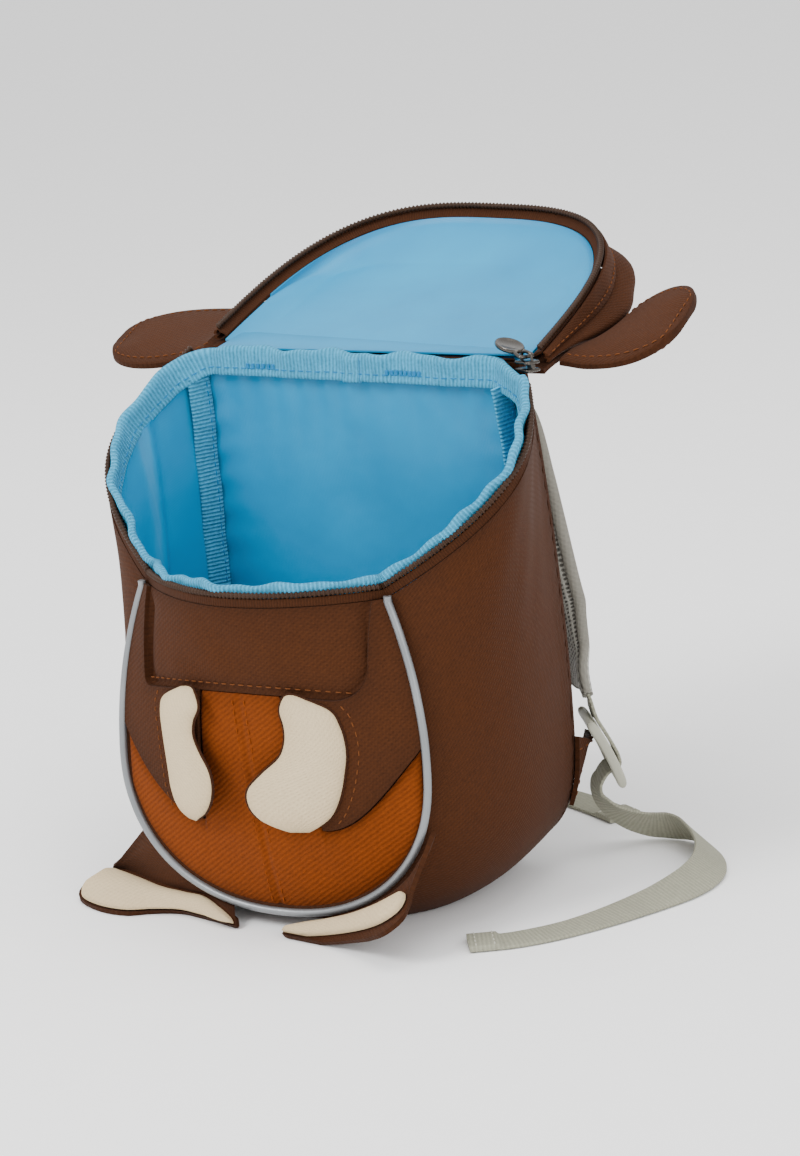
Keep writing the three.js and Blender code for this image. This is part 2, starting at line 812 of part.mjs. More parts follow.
// A D-shaped sheet over the lid's outline, in columns from the hinge to the far edge.
function lidSheet(grow, hingeGap, height, options) {
  return wall((u, v) => {
    const half = (lidHalfWidth + grow) * 0.985;
    const x = lerp(-half, half, 0.5 - 0.5 * Math.cos(Math.PI * u));
    const share = clamp(Math.abs(x) / (lidHalfWidth + grow), 0, 1);
    const far = (lidLength + grow) * (1 - share ** lidRoundness) ** (1 / lidRoundness);
    const y = lerp(hingeGap, far, v);
    return point(x, y, height(x / half, y, Math.min(1, 5 * (1 - share), 4 * (1 - v))));
  }, options);
}

const lidLining = () =>
  lidSheet(
    -4.9,
    1,
    (x, y, edge) => -4.6 - lidDish * Math.sqrt(clamp(edge, 0, 1)) * lidDepthShare(y) * 0.75,
    { nu: 12, nv: 6, over: liningThickness / 2, under: -liningThickness / 2 },
  );

const lidFaceTop = (y) => lidSeamZ(y) - 1.6;
const lidFace = () =>
  lidSheet(
    lidGussetBulge * 0.45,
    0.5,
    (x, y, edge) => lidFaceTop(y) - lidFaceSag * edge * lidDepthShare(y),
    { nu: 12, nv: 6, over: 0, under: -shellThickness },
  );

// The cloth that carries the lid: from the top of the back panel up to the lid's zip side.
function lidHinge(lid) {
  const half = lidHalfWidth - 10;
  lid.updateMatrixWorld(true);
  return wall(
    (u, v) => {
      const x = lerp(-half, half, u);
      const low = point(x, backDepth - backTopLean + 0.7, backTopHeight + 1.6);
      return mix(low, lid.localToWorld(point(x, 0.4, -5.4)), v);
    },
    { nu: 10, nv: 2, over: 0.7, under: -0.7 },
  );
}

// Rows from the root to the tip of an ear: how far its two edges lie from its middle line.
const earRows = [
  { low: 0.42, high: 0.44 },
  { low: 0.47, high: 0.48 },
  { low: 0.5, high: 0.5 },
  { low: 0.49, high: 0.49 },
  { low: 0.45, high: 0.44 },
  { low: 0.35, high: 0.34 },
  { low: 0.16, high: 0.15 },
];

// An ear starts in the seam under the lid's side and turns up into a flap that sticks out.
function ear(side, { flapX, flapY, flapZ, reach, rise, turn, roll }) {
  const angle = degToRad(turn);
  const slope = Math.tan(degToRad(roll));
  const surface = (u, v) => {
    const out = reach * u;
    const along = earWidth * lerp(-column(earRows, "low", u), column(earRows, "high", u), v);
    const flap = point(
      flapX + out * Math.cos(angle) - along * Math.sin(angle),
      flapY + out * Math.sin(angle) + along * Math.cos(angle),
      flapZ + rise * u - slope * along,
    );
    const y = flapY + earWidth * lerp(-earRows[0].low, earRows[0].high, v);
    const k = lidDepthShare(y);
    const half = lidHalfWidth * (1 - clamp(y / lidLength, 0, 1) ** lidRoundness) ** (1 / lidRoundness);
    const seam = point(half + seamOut * k + 3.4, y, lidSeamZ(y) - 2.2);
    const p = mix(seam, flap, 1 - (1 - u) ** 2);
    p.x *= side;
    return p;
  };
  const puff = (u, v) => earThickness * (0.2 + 0.3 * Math.min(1, 4 * Math.min(v, 1 - v), 4 * (1 - u)));
  return wall(surface, {
    nu: 9,
    nv: 8,
    over: puff,
    under: (u, v) => -puff(u, v),
  });
}

// Straps

// The back that the routes of the straps are drawn for. They stretch with it.
const drawnBack = { halfWidth: 79.5, depth: 50, height: 203 };
const onBack = (x, y, z) =>
  point(
    (x * backHalfWidth) / drawnBack.halfWidth,
    (y * backDepth) / drawnBack.depth,
    (z * backTopHeight) / drawnBack.height,
  );

// Rows down a shoulder strap: its middle line, its width and thickness as shares, and its turn.
const strapRows = [
  { x: 37, y: 55.3, z: 184, width: 0.86, thick: 0.5, turn: 0 },
  { x: 37.5, y: 70, z: 185, width: 0.92, thick: 0.85, turn: -4 },
  { x: 40, y: 79.5, z: 176, width: 1, thick: 1, turn: -10 },
  { x: 45, y: 84, z: 150, width: 1, thick: 1, turn: -16 },
  { x: 51, y: 86, z: 120, width: 0.96, thick: 1, turn: -20 },
  { x: 58, y: 86, z: 94, width: 0.9, thick: 1, turn: -24 },
  { x: 66, y: 81, z: 79, width: 0.72, thick: 0.85, turn: -38 },
  { x: 73, y: 73.5, z: 69.5, width: 0.52, thick: 0.6, turn: -54 },
  { x: 75.4, y: 72, z: 64, width: 0.42, thick: 0.5, turn: -58 },
];

function shoulderStrap(side) {
  const steps = 15;
  const points = throughRows(strapRows, steps).map((p) => onBack(side * p.x, p.y, p.z));
  const frames = framesAlong(points, (t) => {
    const turn = degToRad(column(strapRows, "turn", t));
    return point(side * Math.cos(turn), Math.sin(turn), 0);
  });
  return sweep(frames, (t) =>
    lozenge(strapWidth * column(strapRows, "width", t), strapThickness * column(strapRows, "thick", t)),
  );
}

// The ladder lock's own frame: length downwards, width across, thickness outwards.
const lockCentre = onBack(80.5, 71, 43);
const lockDown = point(0.3, 0.26, -0.92).normalize();
const lockAcross = point(0.52, -0.83, 0.18);
lockAcross.addScaledVector(lockDown, -lockAcross.dot(lockDown)).normalize();
const lockOut = lockAcross.clone().cross(lockDown).normalize();

const onLock = (side, down, across, out) => {
  const p = lockCentre
    .clone()
    .addScaledVector(lockDown, down)
    .addScaledVector(lockAcross, across)
    .addScaledVector(lockOut, out);
  return point(side * p.x, p.y, p.z);
};

function manifoldOf(geometry) {
  const bare = new THREE.BufferGeometry();
  bare.setAttribute("position", geometry.getAttribute("position").clone());
  if (geometry.index) bare.setIndex(geometry.index.clone());
  const merged = mergeVertices(bare, 1e-4);
  const mesh = new wasm.Mesh({
    numProp: 3,
    vertProperties: merged.getAttribute("position").array,
    triVerts: new Uint32Array(merged.index.array),
  });
  return new wasm.Manifold(mesh);
}

function joined(geometries) {
  const solid = geometries.map(manifoldOf).reduce((a, b) => a.add(b));
  const mesh = solid.getMesh();
  const geometry = new THREE.BufferGeometry();
  const vertices = new Float32Array(mesh.numVert * 3);
  for (let i = 0; i < mesh.numVert; i++)
    vertices.set(mesh.vertProperties.subarray(i * mesh.numProp, i * mesh.numProp + 3), i * 3);
  geometry.setAttribute("position", new THREE.BufferAttribute(vertices, 3));
  geometry.setIndex(new THREE.BufferAttribute(new Uint32Array(mesh.triVerts), 1));
  geometry.computeVertexNormals();
  return geometry;
}

// A ladder lock: two rails and four bars, with a lip at the lower end.
function ladderLock(side) {
  const rails = [-1, 1].map((s) =>
    sweep(
      framesAlong(
        range(6, (t) => {
          const down = lerp(-lockLength / 2, lockLength / 2, t);
          return onLock(side, down, s * (lockWidth / 2 - 2), 1.2 * (1 - (2 * t - 1) ** 2));
        }),
        () => point(side * lockAcross.x, lockAcross.y, lockAcross.z),
      ),
      () => rectangle(4, lockThickness),
    ),
  );
  const bars = [-0.46, -0.1, 0.16, 0.44].map((place) =>
    sweep(
      framesAlong(
        range(1, (t) => {
          const rise = 1.2 * (1 - (2 * place) ** 2);
          return onLock(side, place * (lockLength - 3), lerp(-1, 1, t) * (lockWidth / 2 - 2), rise);
        }),
        () => point(side * lockDown.x, lockDown.y, lockDown.z),
      ),
      () => circle(lockBar / 2 - 0.2, 6),
    ),
  );
  return joined([...rails, ...bars]);
}

// The brown tab in the back seam that holds the lock.
function strapTab(side) {
  const tabFrom = 0.52;
  const tabTo = 0.38;
  return wall(
    (u, v) => {
      const w = side * lerp(tabFrom, tabTo, v);
      const seam = backSeamPoint(w).addScaledVector(seamShape(w, backSeam).out, 1.75);
      seam.y += 0.2;
      const bar = onLock(side, -7.2, lerp(6.5, -6.5, v), -1.7);
      return mix(seam, bar, u);
    },
    { nu: 5, nv: 3, over: 0.9, under: -0.9 },
  );
}

// Rows over the lock's bars, in its frame: from the strap's end down into the lower slot.
const lockRoute = [
  { down: -12.5, out: 3.6 },
  { down: -7, out: 3.9 },
  { down: -1, out: 4.3 },
  { down: 4, out: 4.2 },
  { down: 7.4, out: 3.1 },
  { down: 8.4, out: 0.6 },
  { down: 8.2, out: -2 },
];

// One piece of webbing: out of the strap's end, over the lock's bars, down through its slot, and along
// the rows of its loose end, which also name the direction of its width. Where it would sink into the
// ground it is lifted until it rests on its lower edge.
function webbing(side, looseRows, steps) {
  const across = { wideX: side * lockAcross.x, wideY: lockAcross.y, wideZ: lockAcross.z };
  const strapEnd = strapRows[strapRows.length - 1];
  const start = onBack(strapEnd.x + 0.3, strapEnd.y + 0.1, strapEnd.z - 2.1);
  const rows = [
    { x: side * start.x, y: start.y, z: start.z, ...across },
    ...lockRoute.map(({ down, out }) => {
      const p = onLock(side, down, 0, out);
      return { x: p.x, y: p.y, z: p.z, ...across };
    }),
    ...looseRows.map((row) => ({ ...row, ...onBack(row.x, row.y, row.z) })),
  ];
  const frames = framesAlong(throughRows(rows, steps), (t) =>
    point(column(rows, "wideX", t), column(rows, "wideY", t), column(rows, "wideZ", t)),
  );
  for (const f of frames) {
    const reach = (Math.abs(f.out.z) * webbingWidth + Math.abs(f.up.z) * webbingThickness) / 2;
    f.p.z = Math.max(f.p.z, reach + 0.05);
  }
  return sweep(frames, () => rectangle(webbingWidth, webbingThickness));
}

// The routes of the two loose webbing ends, chosen by hand.
const rightTailRoute = [
  { x: 78.6, y: 70.4, z: 30, wideX: 0.6, wideY: -0.8, wideZ: 0 },
  { x: 77.5, y: 71, z: 25, wideX: 0.72, wideY: -0.7, wideZ: 0 },
  { x: 79, y: 73, z: 19.5, wideX: 0.86, wideY: -0.5, wideZ: 0.1 },
  { x: 82.5, y: 77, z: 14, wideX: 0.85, wideY: -0.4, wideZ: 0.4 },
  { x: 87, y: 81, z: 10, wideX: 0.75, wideY: -0.35, wideZ: 0.6 },
  { x: 93, y: 85, z: 7.4, wideX: 0.5, wideY: -0.4, wideZ: 0.8 },
  { x: 100, y: 87, z: 6.9, wideX: 0.2, wideY: -0.5, wideZ: 0.9 },
  { x: 107, y: 86, z: 6.9, wideX: -0.1, wideY: -0.6, wideZ: 0.85 },
  { x: 115, y: 81, z: 6.4, wideX: -0.35, wideY: -0.6, wideZ: 0.75 },
  { x: 123, y: 73, z: 5.6, wideX: -0.5, wideY: -0.5, wideZ: 0.66 },
  { x: 129.5, y: 63, z: 4.8, wideX: -0.6, wideY: -0.4, wideZ: 0.6 },
  { x: 133.5, y: 52, z: 4.2, wideX: -0.7, wideY: -0.2, wideZ: 0.5 },
  { x: 134, y: 41, z: 3.6, wideX: -0.8, wideY: 0, wideZ: 0.42 },
  { x: 132, y: 31, z: 3, wideX: -0.85, wideY: 0.2, wideZ: 0.34 },
  { x: 128, y: 21, z: 2.4, wideX: -0.88, wideY: 0.35, wideZ: 0.22 },
  { x: 123, y: 10, z: 1.8, wideX: -0.88, wideY: 0.4, wideZ: 0.12 },
  { x: 117, y: -2, z: 1.2, wideX: -0.88, wideY: 0.45, wideZ: 0.05 },
  { x: 110, y: -14, z: 0.8, wideX: -0.86, wideY: 0.5, wideZ: 0 },
  { x: 102.5, y: -25, z: 0.8, wideX: -0.82, wideY: 0.56, wideZ: 0 },
  { x: 93, y: -35, z: 0.8, wideX: -0.78, wideY: 0.62, wideZ: 0 },
  { x: 80, y: -44, z: 0.8, wideX: -0.7, wideY: 0.7, wideZ: 0 },
];
const leftTailRoute = [
  { x: -78.6, y: 70.6, z: 30, wideX: -0.6, wideY: -0.8, wideZ: 0 },
  { x: -78, y: 72, z: 24, wideX: -0.72, wideY: -0.7, wideZ: 0 },
  { x: -78, y: 76, z: 16, wideX: -0.86, wideY: -0.5, wideZ: 0 },
  { x: -79, y: 84, z: 9, wideX: -0.95, wideY: -0.2, wideZ: 0 },
  { x: -79, y: 94, z: 4, wideX: -1, wideY: 0, wideZ: 0 },
  { x: -76, y: 106, z: 1.2, wideX: -0.96, wideY: -0.25, wideZ: 0 },
  { x: -68, y: 118, z: 0.8, wideX: -0.75, wideY: -0.65, wideZ: 0 },
  { x: -55, y: 127, z: 0.8, wideX: -0.45, wideY: -0.9, wideZ: 0 },
  { x: -38, y: 132, z: 0.8, wideX: -0.2, wideY: -1, wideZ: 0 },
  { x: -19, y: 134, z: 0.8, wideX: -0, wideY: -1, wideZ: 0 },
  { x: 0, y: 133, z: 0.8, wideX: 0.1, wideY: -1, wideZ: 0 },
  { x: 19, y: 130, z: 0.8, wideX: -0.15, wideY: -1, wideZ: 0 },
  { x: 37, y: 124, z: 0.8, wideX: -0.3, wideY: -0.95, wideZ: 0 },
  { x: 54, y: 116, z: 0.8, wideX: -0.45, wideY: -0.9, wideZ: 0 },
  { x: 70, y: 107, z: 0.8, wideX: -0.5, wideY: -0.86, wideZ: 0 },
];

// Zip slider and puller

const sliderCentre = point(backTopHalfRight + 5, backDepth - 10, backTopHeight + 0.4);
const sliderTurn = 25;
const pivotHeight = sliderHeight / 2 + 1.5;

function box(x, y, z, centre) {
  return new THREE.BoxGeometry(x, y, z).translate(centre.x, centre.y, centre.z);
}

// Two plates round a wedge, with a bridge over the top.
function zipSlider() {
  const plate = 1.1;
  const top = sliderHeight / 2;
  const leg = pivotHeight + 1.6 - top + 0.4;
  const legX = sliderLength / 2 - 1.4;
  return joined([
    box(sliderLength, sliderWidth, plate, point(0, 0, top - plate / 2)),
    box(sliderLength, sliderWidth, plate, point(0, 0, -top + plate / 2)),
    box(sliderLength * 0.4, 2, sliderHeight - 0.2, point(sliderLength * 0.28, 0, 0)),
    ...[-1, 1].map((s) => box(bridgeWire, bridgeWidth, leg, point(s * legX, 0, top + leg / 2 - 0.3))),
    box(2 * legX + bridgeWire, bridgeWidth, bridgeWire, point(0, 0, pivotHeight + 1.6)),
  ]);
}

// A wire link under the bridge with an oval disc on it, built pointing along -X from the pivot.
function zipPuller() {
  const wire = (from, to) =>
    sweep(
      framesAlong([from, to], () => point(0, 0, 1)),
      () => circle(pullWire, 8),
    );
  const w = pullLinkHalfWidth;
  const end = -pullLinkLength;
  const discCentre = end - pullDiscRadius + 0.6;
  const disc = new THREE.CylinderGeometry(pullDiscRadius, pullDiscRadius, pullDiscThickness, 20)
    .rotateX(Math.PI / 2)
    .scale(1.12, 0.86, 1)
    .translate(discCentre, 0, 0);
  return joined([
    wire(point(0, -w - pullWire, 0), point(0, w + pullWire, 0)),
    wire(point(0.1, -w, 0), point(end, -w * 0.7, 0)),
    wire(point(0.1, w, 0), point(end, w * 0.7, 0)),
    wire(point(end, -w, 0), point(end, w, 0)),
    disc,
  ]);
}

// Assembly

const bag = new THREE.Group();

function add(parent, name, geometry, finish) {
  const mesh = new THREE.Mesh(geometry, new THREE.MeshStandardMaterial(finish));
  mesh.name = name;
  parent.add(mesh);
  return mesh;
}

add(bag, "side_gusset", sideGusset(), brown);
add(bag, "back_panel", backPanel(), brown);
add(bag, "belly_panel", bellyPanel(), orange);
add(bag, "chest_panel", chestPanel(), brown);
add(bag, "piping", piping(), silver);
add(bag, "lining_front", liningFront(), blue);
add(bag, "lining_gusset", liningGusset(), blue);
add(bag, "lining_back", liningBack(), blue);
add(bag, "body_zip_tape", bodyZipTape(), darkBrown);
add(bag, "body_zip_coil", bodyZipCoil(), darkBrown);
add(bag, "rim_binding", rimBinding(), paleBlue);

const sides = [
  {
    name: "left",
    side: -1,
    palm: { rows: leftHandRows, lift: handLiftLeft },
    foot: { rows: leftFootRows, rootFrom: 0.1, rootTo: 0.37, rootGap: 1.5 },
    tail: leftTailRoute,
  },
  {
    name: "right",
    side: 1,
    palm: { rows: rightHandRows, lift: handLiftRight },
    foot: { rows: rightFootRows, rootFrom: 0.12, rootTo: 0.44, rootGap: 2.6 },
    tail: rightTailRoute,
  },
];
for (const { name, side, palm, foot, tail } of sides) {
  add(bag, `arm_panel_${name}`, armPanel(side), brown);
  add(bag, `hand_${name}`, hand(side, palm, handThickness, 0.15), cream);
  add(bag, `hand_back_${name}`, hand(side, palm, -0.15, -handThickness), brown);
  add(bag, `leg_${name}`, leg(side, foot), brown);
  add(bag, `foot_sole_${name}`, footSole(side, foot.rows), cream);
  add(bag, `seam_binding_${name}`, seamBinding(side), paleBlue);
  add(bag, `shoulder_strap_${name}`, shoulderStrap(side), grey);
  add(bag, `strap_tab_${name}`, strapTab(side), brown);
  add(bag, `ladder_lock_${name}`, ladderLock(side), plastic);
  add(bag, `webbing_${name}`, webbing(side, tail, 48), grey);
}

const lid = new THREE.Group();
lid.position.set(lidShiftX, backDepth + lidHingeBehind, backTopHeight + lidHingeRise);
lid.rotation.set(degToRad(lidOpenAngle), 0, degToRad(-lidTwist), "XYZ");
bag.add(lid);
add(lid, "lid_zip_coil", lidZipCoil(), darkBrown);
add(lid, "lid_zip_tape", lidZipTape(), darkBrown);
add(lid, "lid_band", lidBand(), brown);
add(lid, "lid_gusset", lidGusset(), brown);
add(lid, "lid_face", lidFace(), brown);
add(lid, "lid_lining", lidLining(), blue);
const leftEar = { flapX: 90, flapY: 25, flapZ: -20, reach: 46, rise: 4, turn: -16, roll: 8 };
const rightEar = { flapX: 88, flapY: 34, flapZ: -11, reach: 34, rise: 6, turn: 6, roll: 0 };
add(lid, "ear_left", ear(-1, leftEar), brown);
add(lid, "ear_right", ear(1, rightEar), brown);
add(bag, "lid_hinge", lidHinge(lid), brown);

const slider = new THREE.Group();
slider.position.copy(sliderCentre);
slider.rotation.z = degToRad(-sliderTurn);
bag.add(slider);
add(slider, "zip_slider", zipSlider(), gunmetal);
const puller = add(slider, "zip_puller", zipPuller(), gunmetal);
puller.position.set(0, 0, pivotHeight);
puller.rotation.y = degToRad(pullRestAngle);

export default bag;
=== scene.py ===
# A small child's backpack in the shape of a sitting animal, unzipped, with its lid flipped back.
# Shapes are worked out in millimetres, X to the right, Y to the back, Z up, and stored in metres.

import math

import bpy
import numpy as np
from mathutils import Matrix, Vector


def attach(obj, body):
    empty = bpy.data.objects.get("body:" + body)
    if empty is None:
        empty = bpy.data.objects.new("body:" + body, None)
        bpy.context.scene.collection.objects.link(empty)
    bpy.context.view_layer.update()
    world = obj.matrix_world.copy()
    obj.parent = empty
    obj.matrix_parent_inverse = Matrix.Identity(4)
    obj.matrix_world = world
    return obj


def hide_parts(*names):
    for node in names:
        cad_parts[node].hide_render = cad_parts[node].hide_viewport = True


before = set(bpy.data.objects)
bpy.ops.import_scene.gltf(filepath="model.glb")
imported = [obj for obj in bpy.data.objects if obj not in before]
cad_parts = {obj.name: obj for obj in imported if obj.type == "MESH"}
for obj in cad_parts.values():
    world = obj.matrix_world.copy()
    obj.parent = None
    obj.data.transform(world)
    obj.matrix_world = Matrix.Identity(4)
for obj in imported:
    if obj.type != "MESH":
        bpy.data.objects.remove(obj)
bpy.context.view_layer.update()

scene = bpy.context.scene

# Small sums on whole arrays


def lerp(a, b, t):
    return a + (b - a) * t


def smooth(t):
    t = np.clip(t, 0, 1)
    return t * t * (3 - 2 * t)


def unit(v):
    return v / np.maximum(np.linalg.norm(v, axis=-1, keepdims=True), 1e-9)


def vector(x, y, z):
    return np.stack(np.broadcast_arrays(x, y, z), -1).astype(float)


def grid(across, up, u=(0, 1), v=(0, 1)):
    # Two arrays of parameters: u changes along the columns, v along the rows
    return np.meshgrid(np.linspace(*u, across + 1), np.linspace(*v, up + 1))


def gridNormals(points):
    # Cross product of the differences along the columns and along the rows
    return unit(np.cross(np.gradient(points, axis=1), np.gradient(points, axis=0)))


def waves(u, v, seed, low, high, count=7):
    # Sum of sine waves in fixed directions, each with its own number of waves per unit: soft creases
    rng = np.random.default_rng(seed)
    total = 0
    for angle, phase, rate in zip(rng.uniform(0, 6.283, count), rng.uniform(0, 6.283, count),
                                  rng.uniform(low, high, count)):
        total = total + np.sin(6.283 * rate * (u * math.cos(angle) + v * math.sin(angle)) + phase)
    return total / count


def evenly(path, count, closed=False):
    # The same path with its points at even distances
    if closed:
        path = np.vstack([path, path[:1]])
    place = np.concatenate([[0], np.cumsum(np.linalg.norm(np.diff(path, axis=0), axis=1))])
    even = np.linspace(0, place[-1], count + (1 if closed else 0))
    even = even[:-1] if closed else even
    return np.stack([np.interp(even, place, path[:, k]) for k in range(path.shape[1])], 1)


def softened(values, width, closed=False):
    # Moving average over a number of points on each side
    mode = "wrap" if closed else "edge"
    padded = np.pad(values, ((width, width), (0, 0)), mode)
    kernel = np.hanning(2 * width + 3)[1:-1]
    kernel = kernel / kernel.sum()
    return np.stack([np.convolve(padded[:, k], kernel, "valid") for k in range(values.shape[1])], 1)


def rowsAt(rows, t):
    # Smooth curve through the rows of a table, read at shares t of its length
    rows = np.asarray(rows, float)
    place = np.clip(t, 0, 1) * (len(rows) - 1)
    i = np.minimum(place.astype(int), len(rows) - 2)
    f = (place - i)[..., None]
    a, b, c, d = rows[np.maximum(i - 1, 0)], rows[i], rows[i + 1], rows[np.minimum(i + 2, len(rows) - 1)]
    return 0.5 * (2 * b + (c - a) * f + (2 * a - 5 * b + 4 * c - d) * f**2 + (3 * b - a - 3 * c + d) * f**3)


def straightAt(rows, t):
    # The same table read along straight lines between its rows
    rows = np.asarray(rows, float)
    place = np.clip(t, 0, 1) * (len(rows) - 1)
    return np.stack([np.interp(place, np.arange(len(rows)), rows[:, k]) for k in range(rows.shape[1])], -1)


def curveThrough(rows, steps):
    # Centripetal curve through the points, which doesn't swing out at a close pair
    p = np.asarray(rows, float)
    p = np.vstack([2 * p[0] - p[1], p, 2 * p[-1] - p[-2]])
    place = np.linspace(0, 1, steps + 1) * (len(p) - 3)
    i = np.minimum(place.astype(int), len(p) - 4)
    f = (place - i)[:, None]
    a, b, c, d = p[i], p[i + 1], p[i + 2], p[i + 3]
    gap = lambda m, n: np.maximum(np.linalg.norm(n - m, axis=1, keepdims=True) ** 0.5, 1e-4)
    s, t, r = gap(a, b), gap(b, c), gap(c, d)
    start = ((b - a) / s - (c - a) / (s + t) + (c - b) / t) * t
    end = ((c - b) / t - (d - b) / (t + r) + (d - c) / r) * t
    return b + start * f + (3 * (c - b) - 2 * start - end) * f**2 + (2 * (b - c) + start + end) * f**3


# Meshes


def gridFaces(rows, columns, closedRows=False, closedColumns=False, first=0):
    index = first + np.arange(rows * columns).reshape(rows, columns)
    if closedColumns:
        index = np.hstack([index, index[:, :1]])
    if closedRows:
        index = np.vstack([index, index[:1]])
    corners = [index[:-1, :-1], index[:-1, 1:], index[1:, 1:], index[1:, :-1]]
    return np.stack(corners, -1).reshape(-1, 4)


def clothLengths(points):
    # Distances along the middle row and the middle column in metres, so that a weave follows the cloth
    row = np.linalg.norm(np.diff(points[points.shape[0] // 2], axis=0), axis=1)
    column = np.linalg.norm(np.diff(points[:, points.shape[1] // 2], axis=0), axis=1)
    u, v = np.concatenate([[0], np.cumsum(row)]), np.concatenate([[0], np.cumsum(column)])
    return np.stack(np.meshgrid(u, v), -1) / 1000


def addPiece(name, vertices, quads, uv, finish, slot, body="bag", stands=(), caps=(), edge=None, crisp=50):
    # Puts a closed surface into a mesh, its faces outwards, with its UV and its seamShade attribute, a mask of
    # painted shade along the seams
    v = np.asarray(vertices)
    a, b, c, d = (v[quads[:, k]] for k in range(4))
    volume = np.einsum("ij,ij->", a, np.cross(b, c)) + np.einsum("ij,ij->", a, np.cross(c, d))
    if volume < 0:
        quads, uv = quads[:, ::-1], uv[:, ::-1]
        caps = [cap[::-1] for cap in caps]
    mesh = bpy.data.meshes.new(name)
    mesh.from_pydata((v / 1000).tolist(), [], quads.tolist() + [list(map(int, cap)) for cap in caps])
    corners = np.concatenate([uv.reshape(-1, 2)] + [np.zeros((len(cap), 2)) for cap in caps])
    mesh.uv_layers.new(name="clothMap").data.foreach_set("uv", corners.ravel())
    if edge is not None:
        mesh.attributes.new("seamShade", "FLOAT", "POINT").data.foreach_set("value", np.ravel(edge))
    mesh.shade_smooth()
    mesh.set_sharp_from_angle(angle=math.radians(crisp))
    mesh.materials.append(finish)
    piece = bpy.data.objects.new(name, mesh)
    scene.collection.objects.link(piece)
    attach(piece, body)
    if stands:
        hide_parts(*([stands] if isinstance(stands, str) else stands))
    return piece


def seamDistance(points):
    # Distance of each grid point to the nearest border of its grid, along the rows and columns
    row = np.linalg.norm(np.diff(points, axis=1), axis=-1)
    column = np.linalg.norm(np.diff(points, axis=0), axis=-1)
    u = np.pad(np.cumsum(row, 1), ((0, 0), (1, 0)))
    v = np.pad(np.cumsum(column, 0), ((1, 0), (0, 0)))
    return np.minimum.reduce([u, u[:, -1:] - u, v, v[-1:] - v])


def wall(name, points, over, under, finish, slot, uv=None, floor=None, shadeWidth=5, **rest):
    # Two faces of one grid surface, over and under it along its normal, joined round their border
    rows, columns = points.shape[:2]
    n = gridNormals(points)
    faces = [points + n * np.broadcast_to(h, (rows, columns))[..., None] for h in (over, under)]
    if floor is not None:
        for face, low in zip(faces, floor):
            face[..., 2] = np.maximum(face[..., 2], low)
    uv = clothLengths(points) if uv is None else uv
    flat = uv.reshape(-1, 2)
    size = rows * columns
    top = gridFaces(rows, columns)
    index = np.arange(size).reshape(rows, columns)
    border = np.concatenate([index[0], index[1:, -1], index[-1, -2::-1], index[-2:0:-1, 0]])
    after = np.roll(border, -1)
    rim = np.stack([border, border + size, after + size, after], 1)
    quads = np.vstack([top, top[:, ::-1] + size, rim])
    # 1 at the grid's border, falling off inside it: stored as seamShade, it paints shade along the seams
    shade = np.exp(-seamDistance(points) / shadeWidth)
    return addPiece(name, np.vstack([f.reshape(-1, 3) for f in faces]), quads, flat[quads % size], finish,
                    slot, edge=np.concatenate([shade.ravel()] * 2), **rest)


def sweep(name, path, out, up, section, finish, slot, closed=False, **rest):
    # Carries a closed section of (out, up) pairs along a path; section may have one outline per point
    section = np.broadcast_to(section, (len(path),) + np.shape(section)[-2:])
    points = onSection(path, out, up, section)
    n, k = points.shape[:2]
    steps = np.linalg.norm(np.diff(np.vstack([path, path[:1]]), axis=0), axis=1)
    lengths = np.concatenate([[0], np.cumsum(steps)])[: n + (1 if closed else 0)]
    outline = np.vstack([section[0], section[0][:1]])
    around = np.concatenate([[0], np.cumsum(np.linalg.norm(np.diff(outline, axis=0), axis=1))])
    uv = np.stack(np.meshgrid(lengths, around, indexing="ij"), -1) / 1000
    quads = gridFaces(n, k, closed, True)
    corners = uv.reshape(-1, 2)[gridFaces(*uv.shape[:2])]
    caps = [] if closed else [np.arange(k)[::-1], np.arange(k) + (n - 1) * k]
    return addPiece(name, points.reshape(-1, 3), quads, corners, finish, slot, caps=caps, **rest)


def along(path, closed=False):
    if closed:
        return unit(np.roll(path, -1, 0) - np.roll(path, 1, 0))
    return unit(np.gradient(path, axis=0))


def onSection(path, out, up, section):
    # Places of a section's (out, up) pairs at each point of a path
    return path[:, None] + out[:, None] * section[..., :1] + up[:, None] * section[..., 1:]


def squareTo(direction, sideways):
    # The part of a sideways direction that is square to the path, and the direction square to both
    out = unit(sideways - direction * np.sum(sideways * direction, -1, keepdims=True))
    return out, unit(np.cross(out, direction))


def circle(radius, sides, a=0, b=0):
    angle = np.arange(sides) / sides * 2 * np.pi
    return np.stack([a + radius * np.cos(angle), b + radius * np.sin(angle)], 1)


def softRectangle(width, height, sides=24, power=5, a=0, b=0):
    # Superellipse: a rectangle with round corners
    angle = (np.arange(sides) + 0.5) / sides * 2 * np.pi
    c, s = np.cos(angle), np.sin(angle)
    return np.stack([a + width / 2 * np.sign(c) * np.abs(c) ** (2 / power),
                     b + height / 2 * np.sign(s) * np.abs(s) ** (2 / power)], 1)


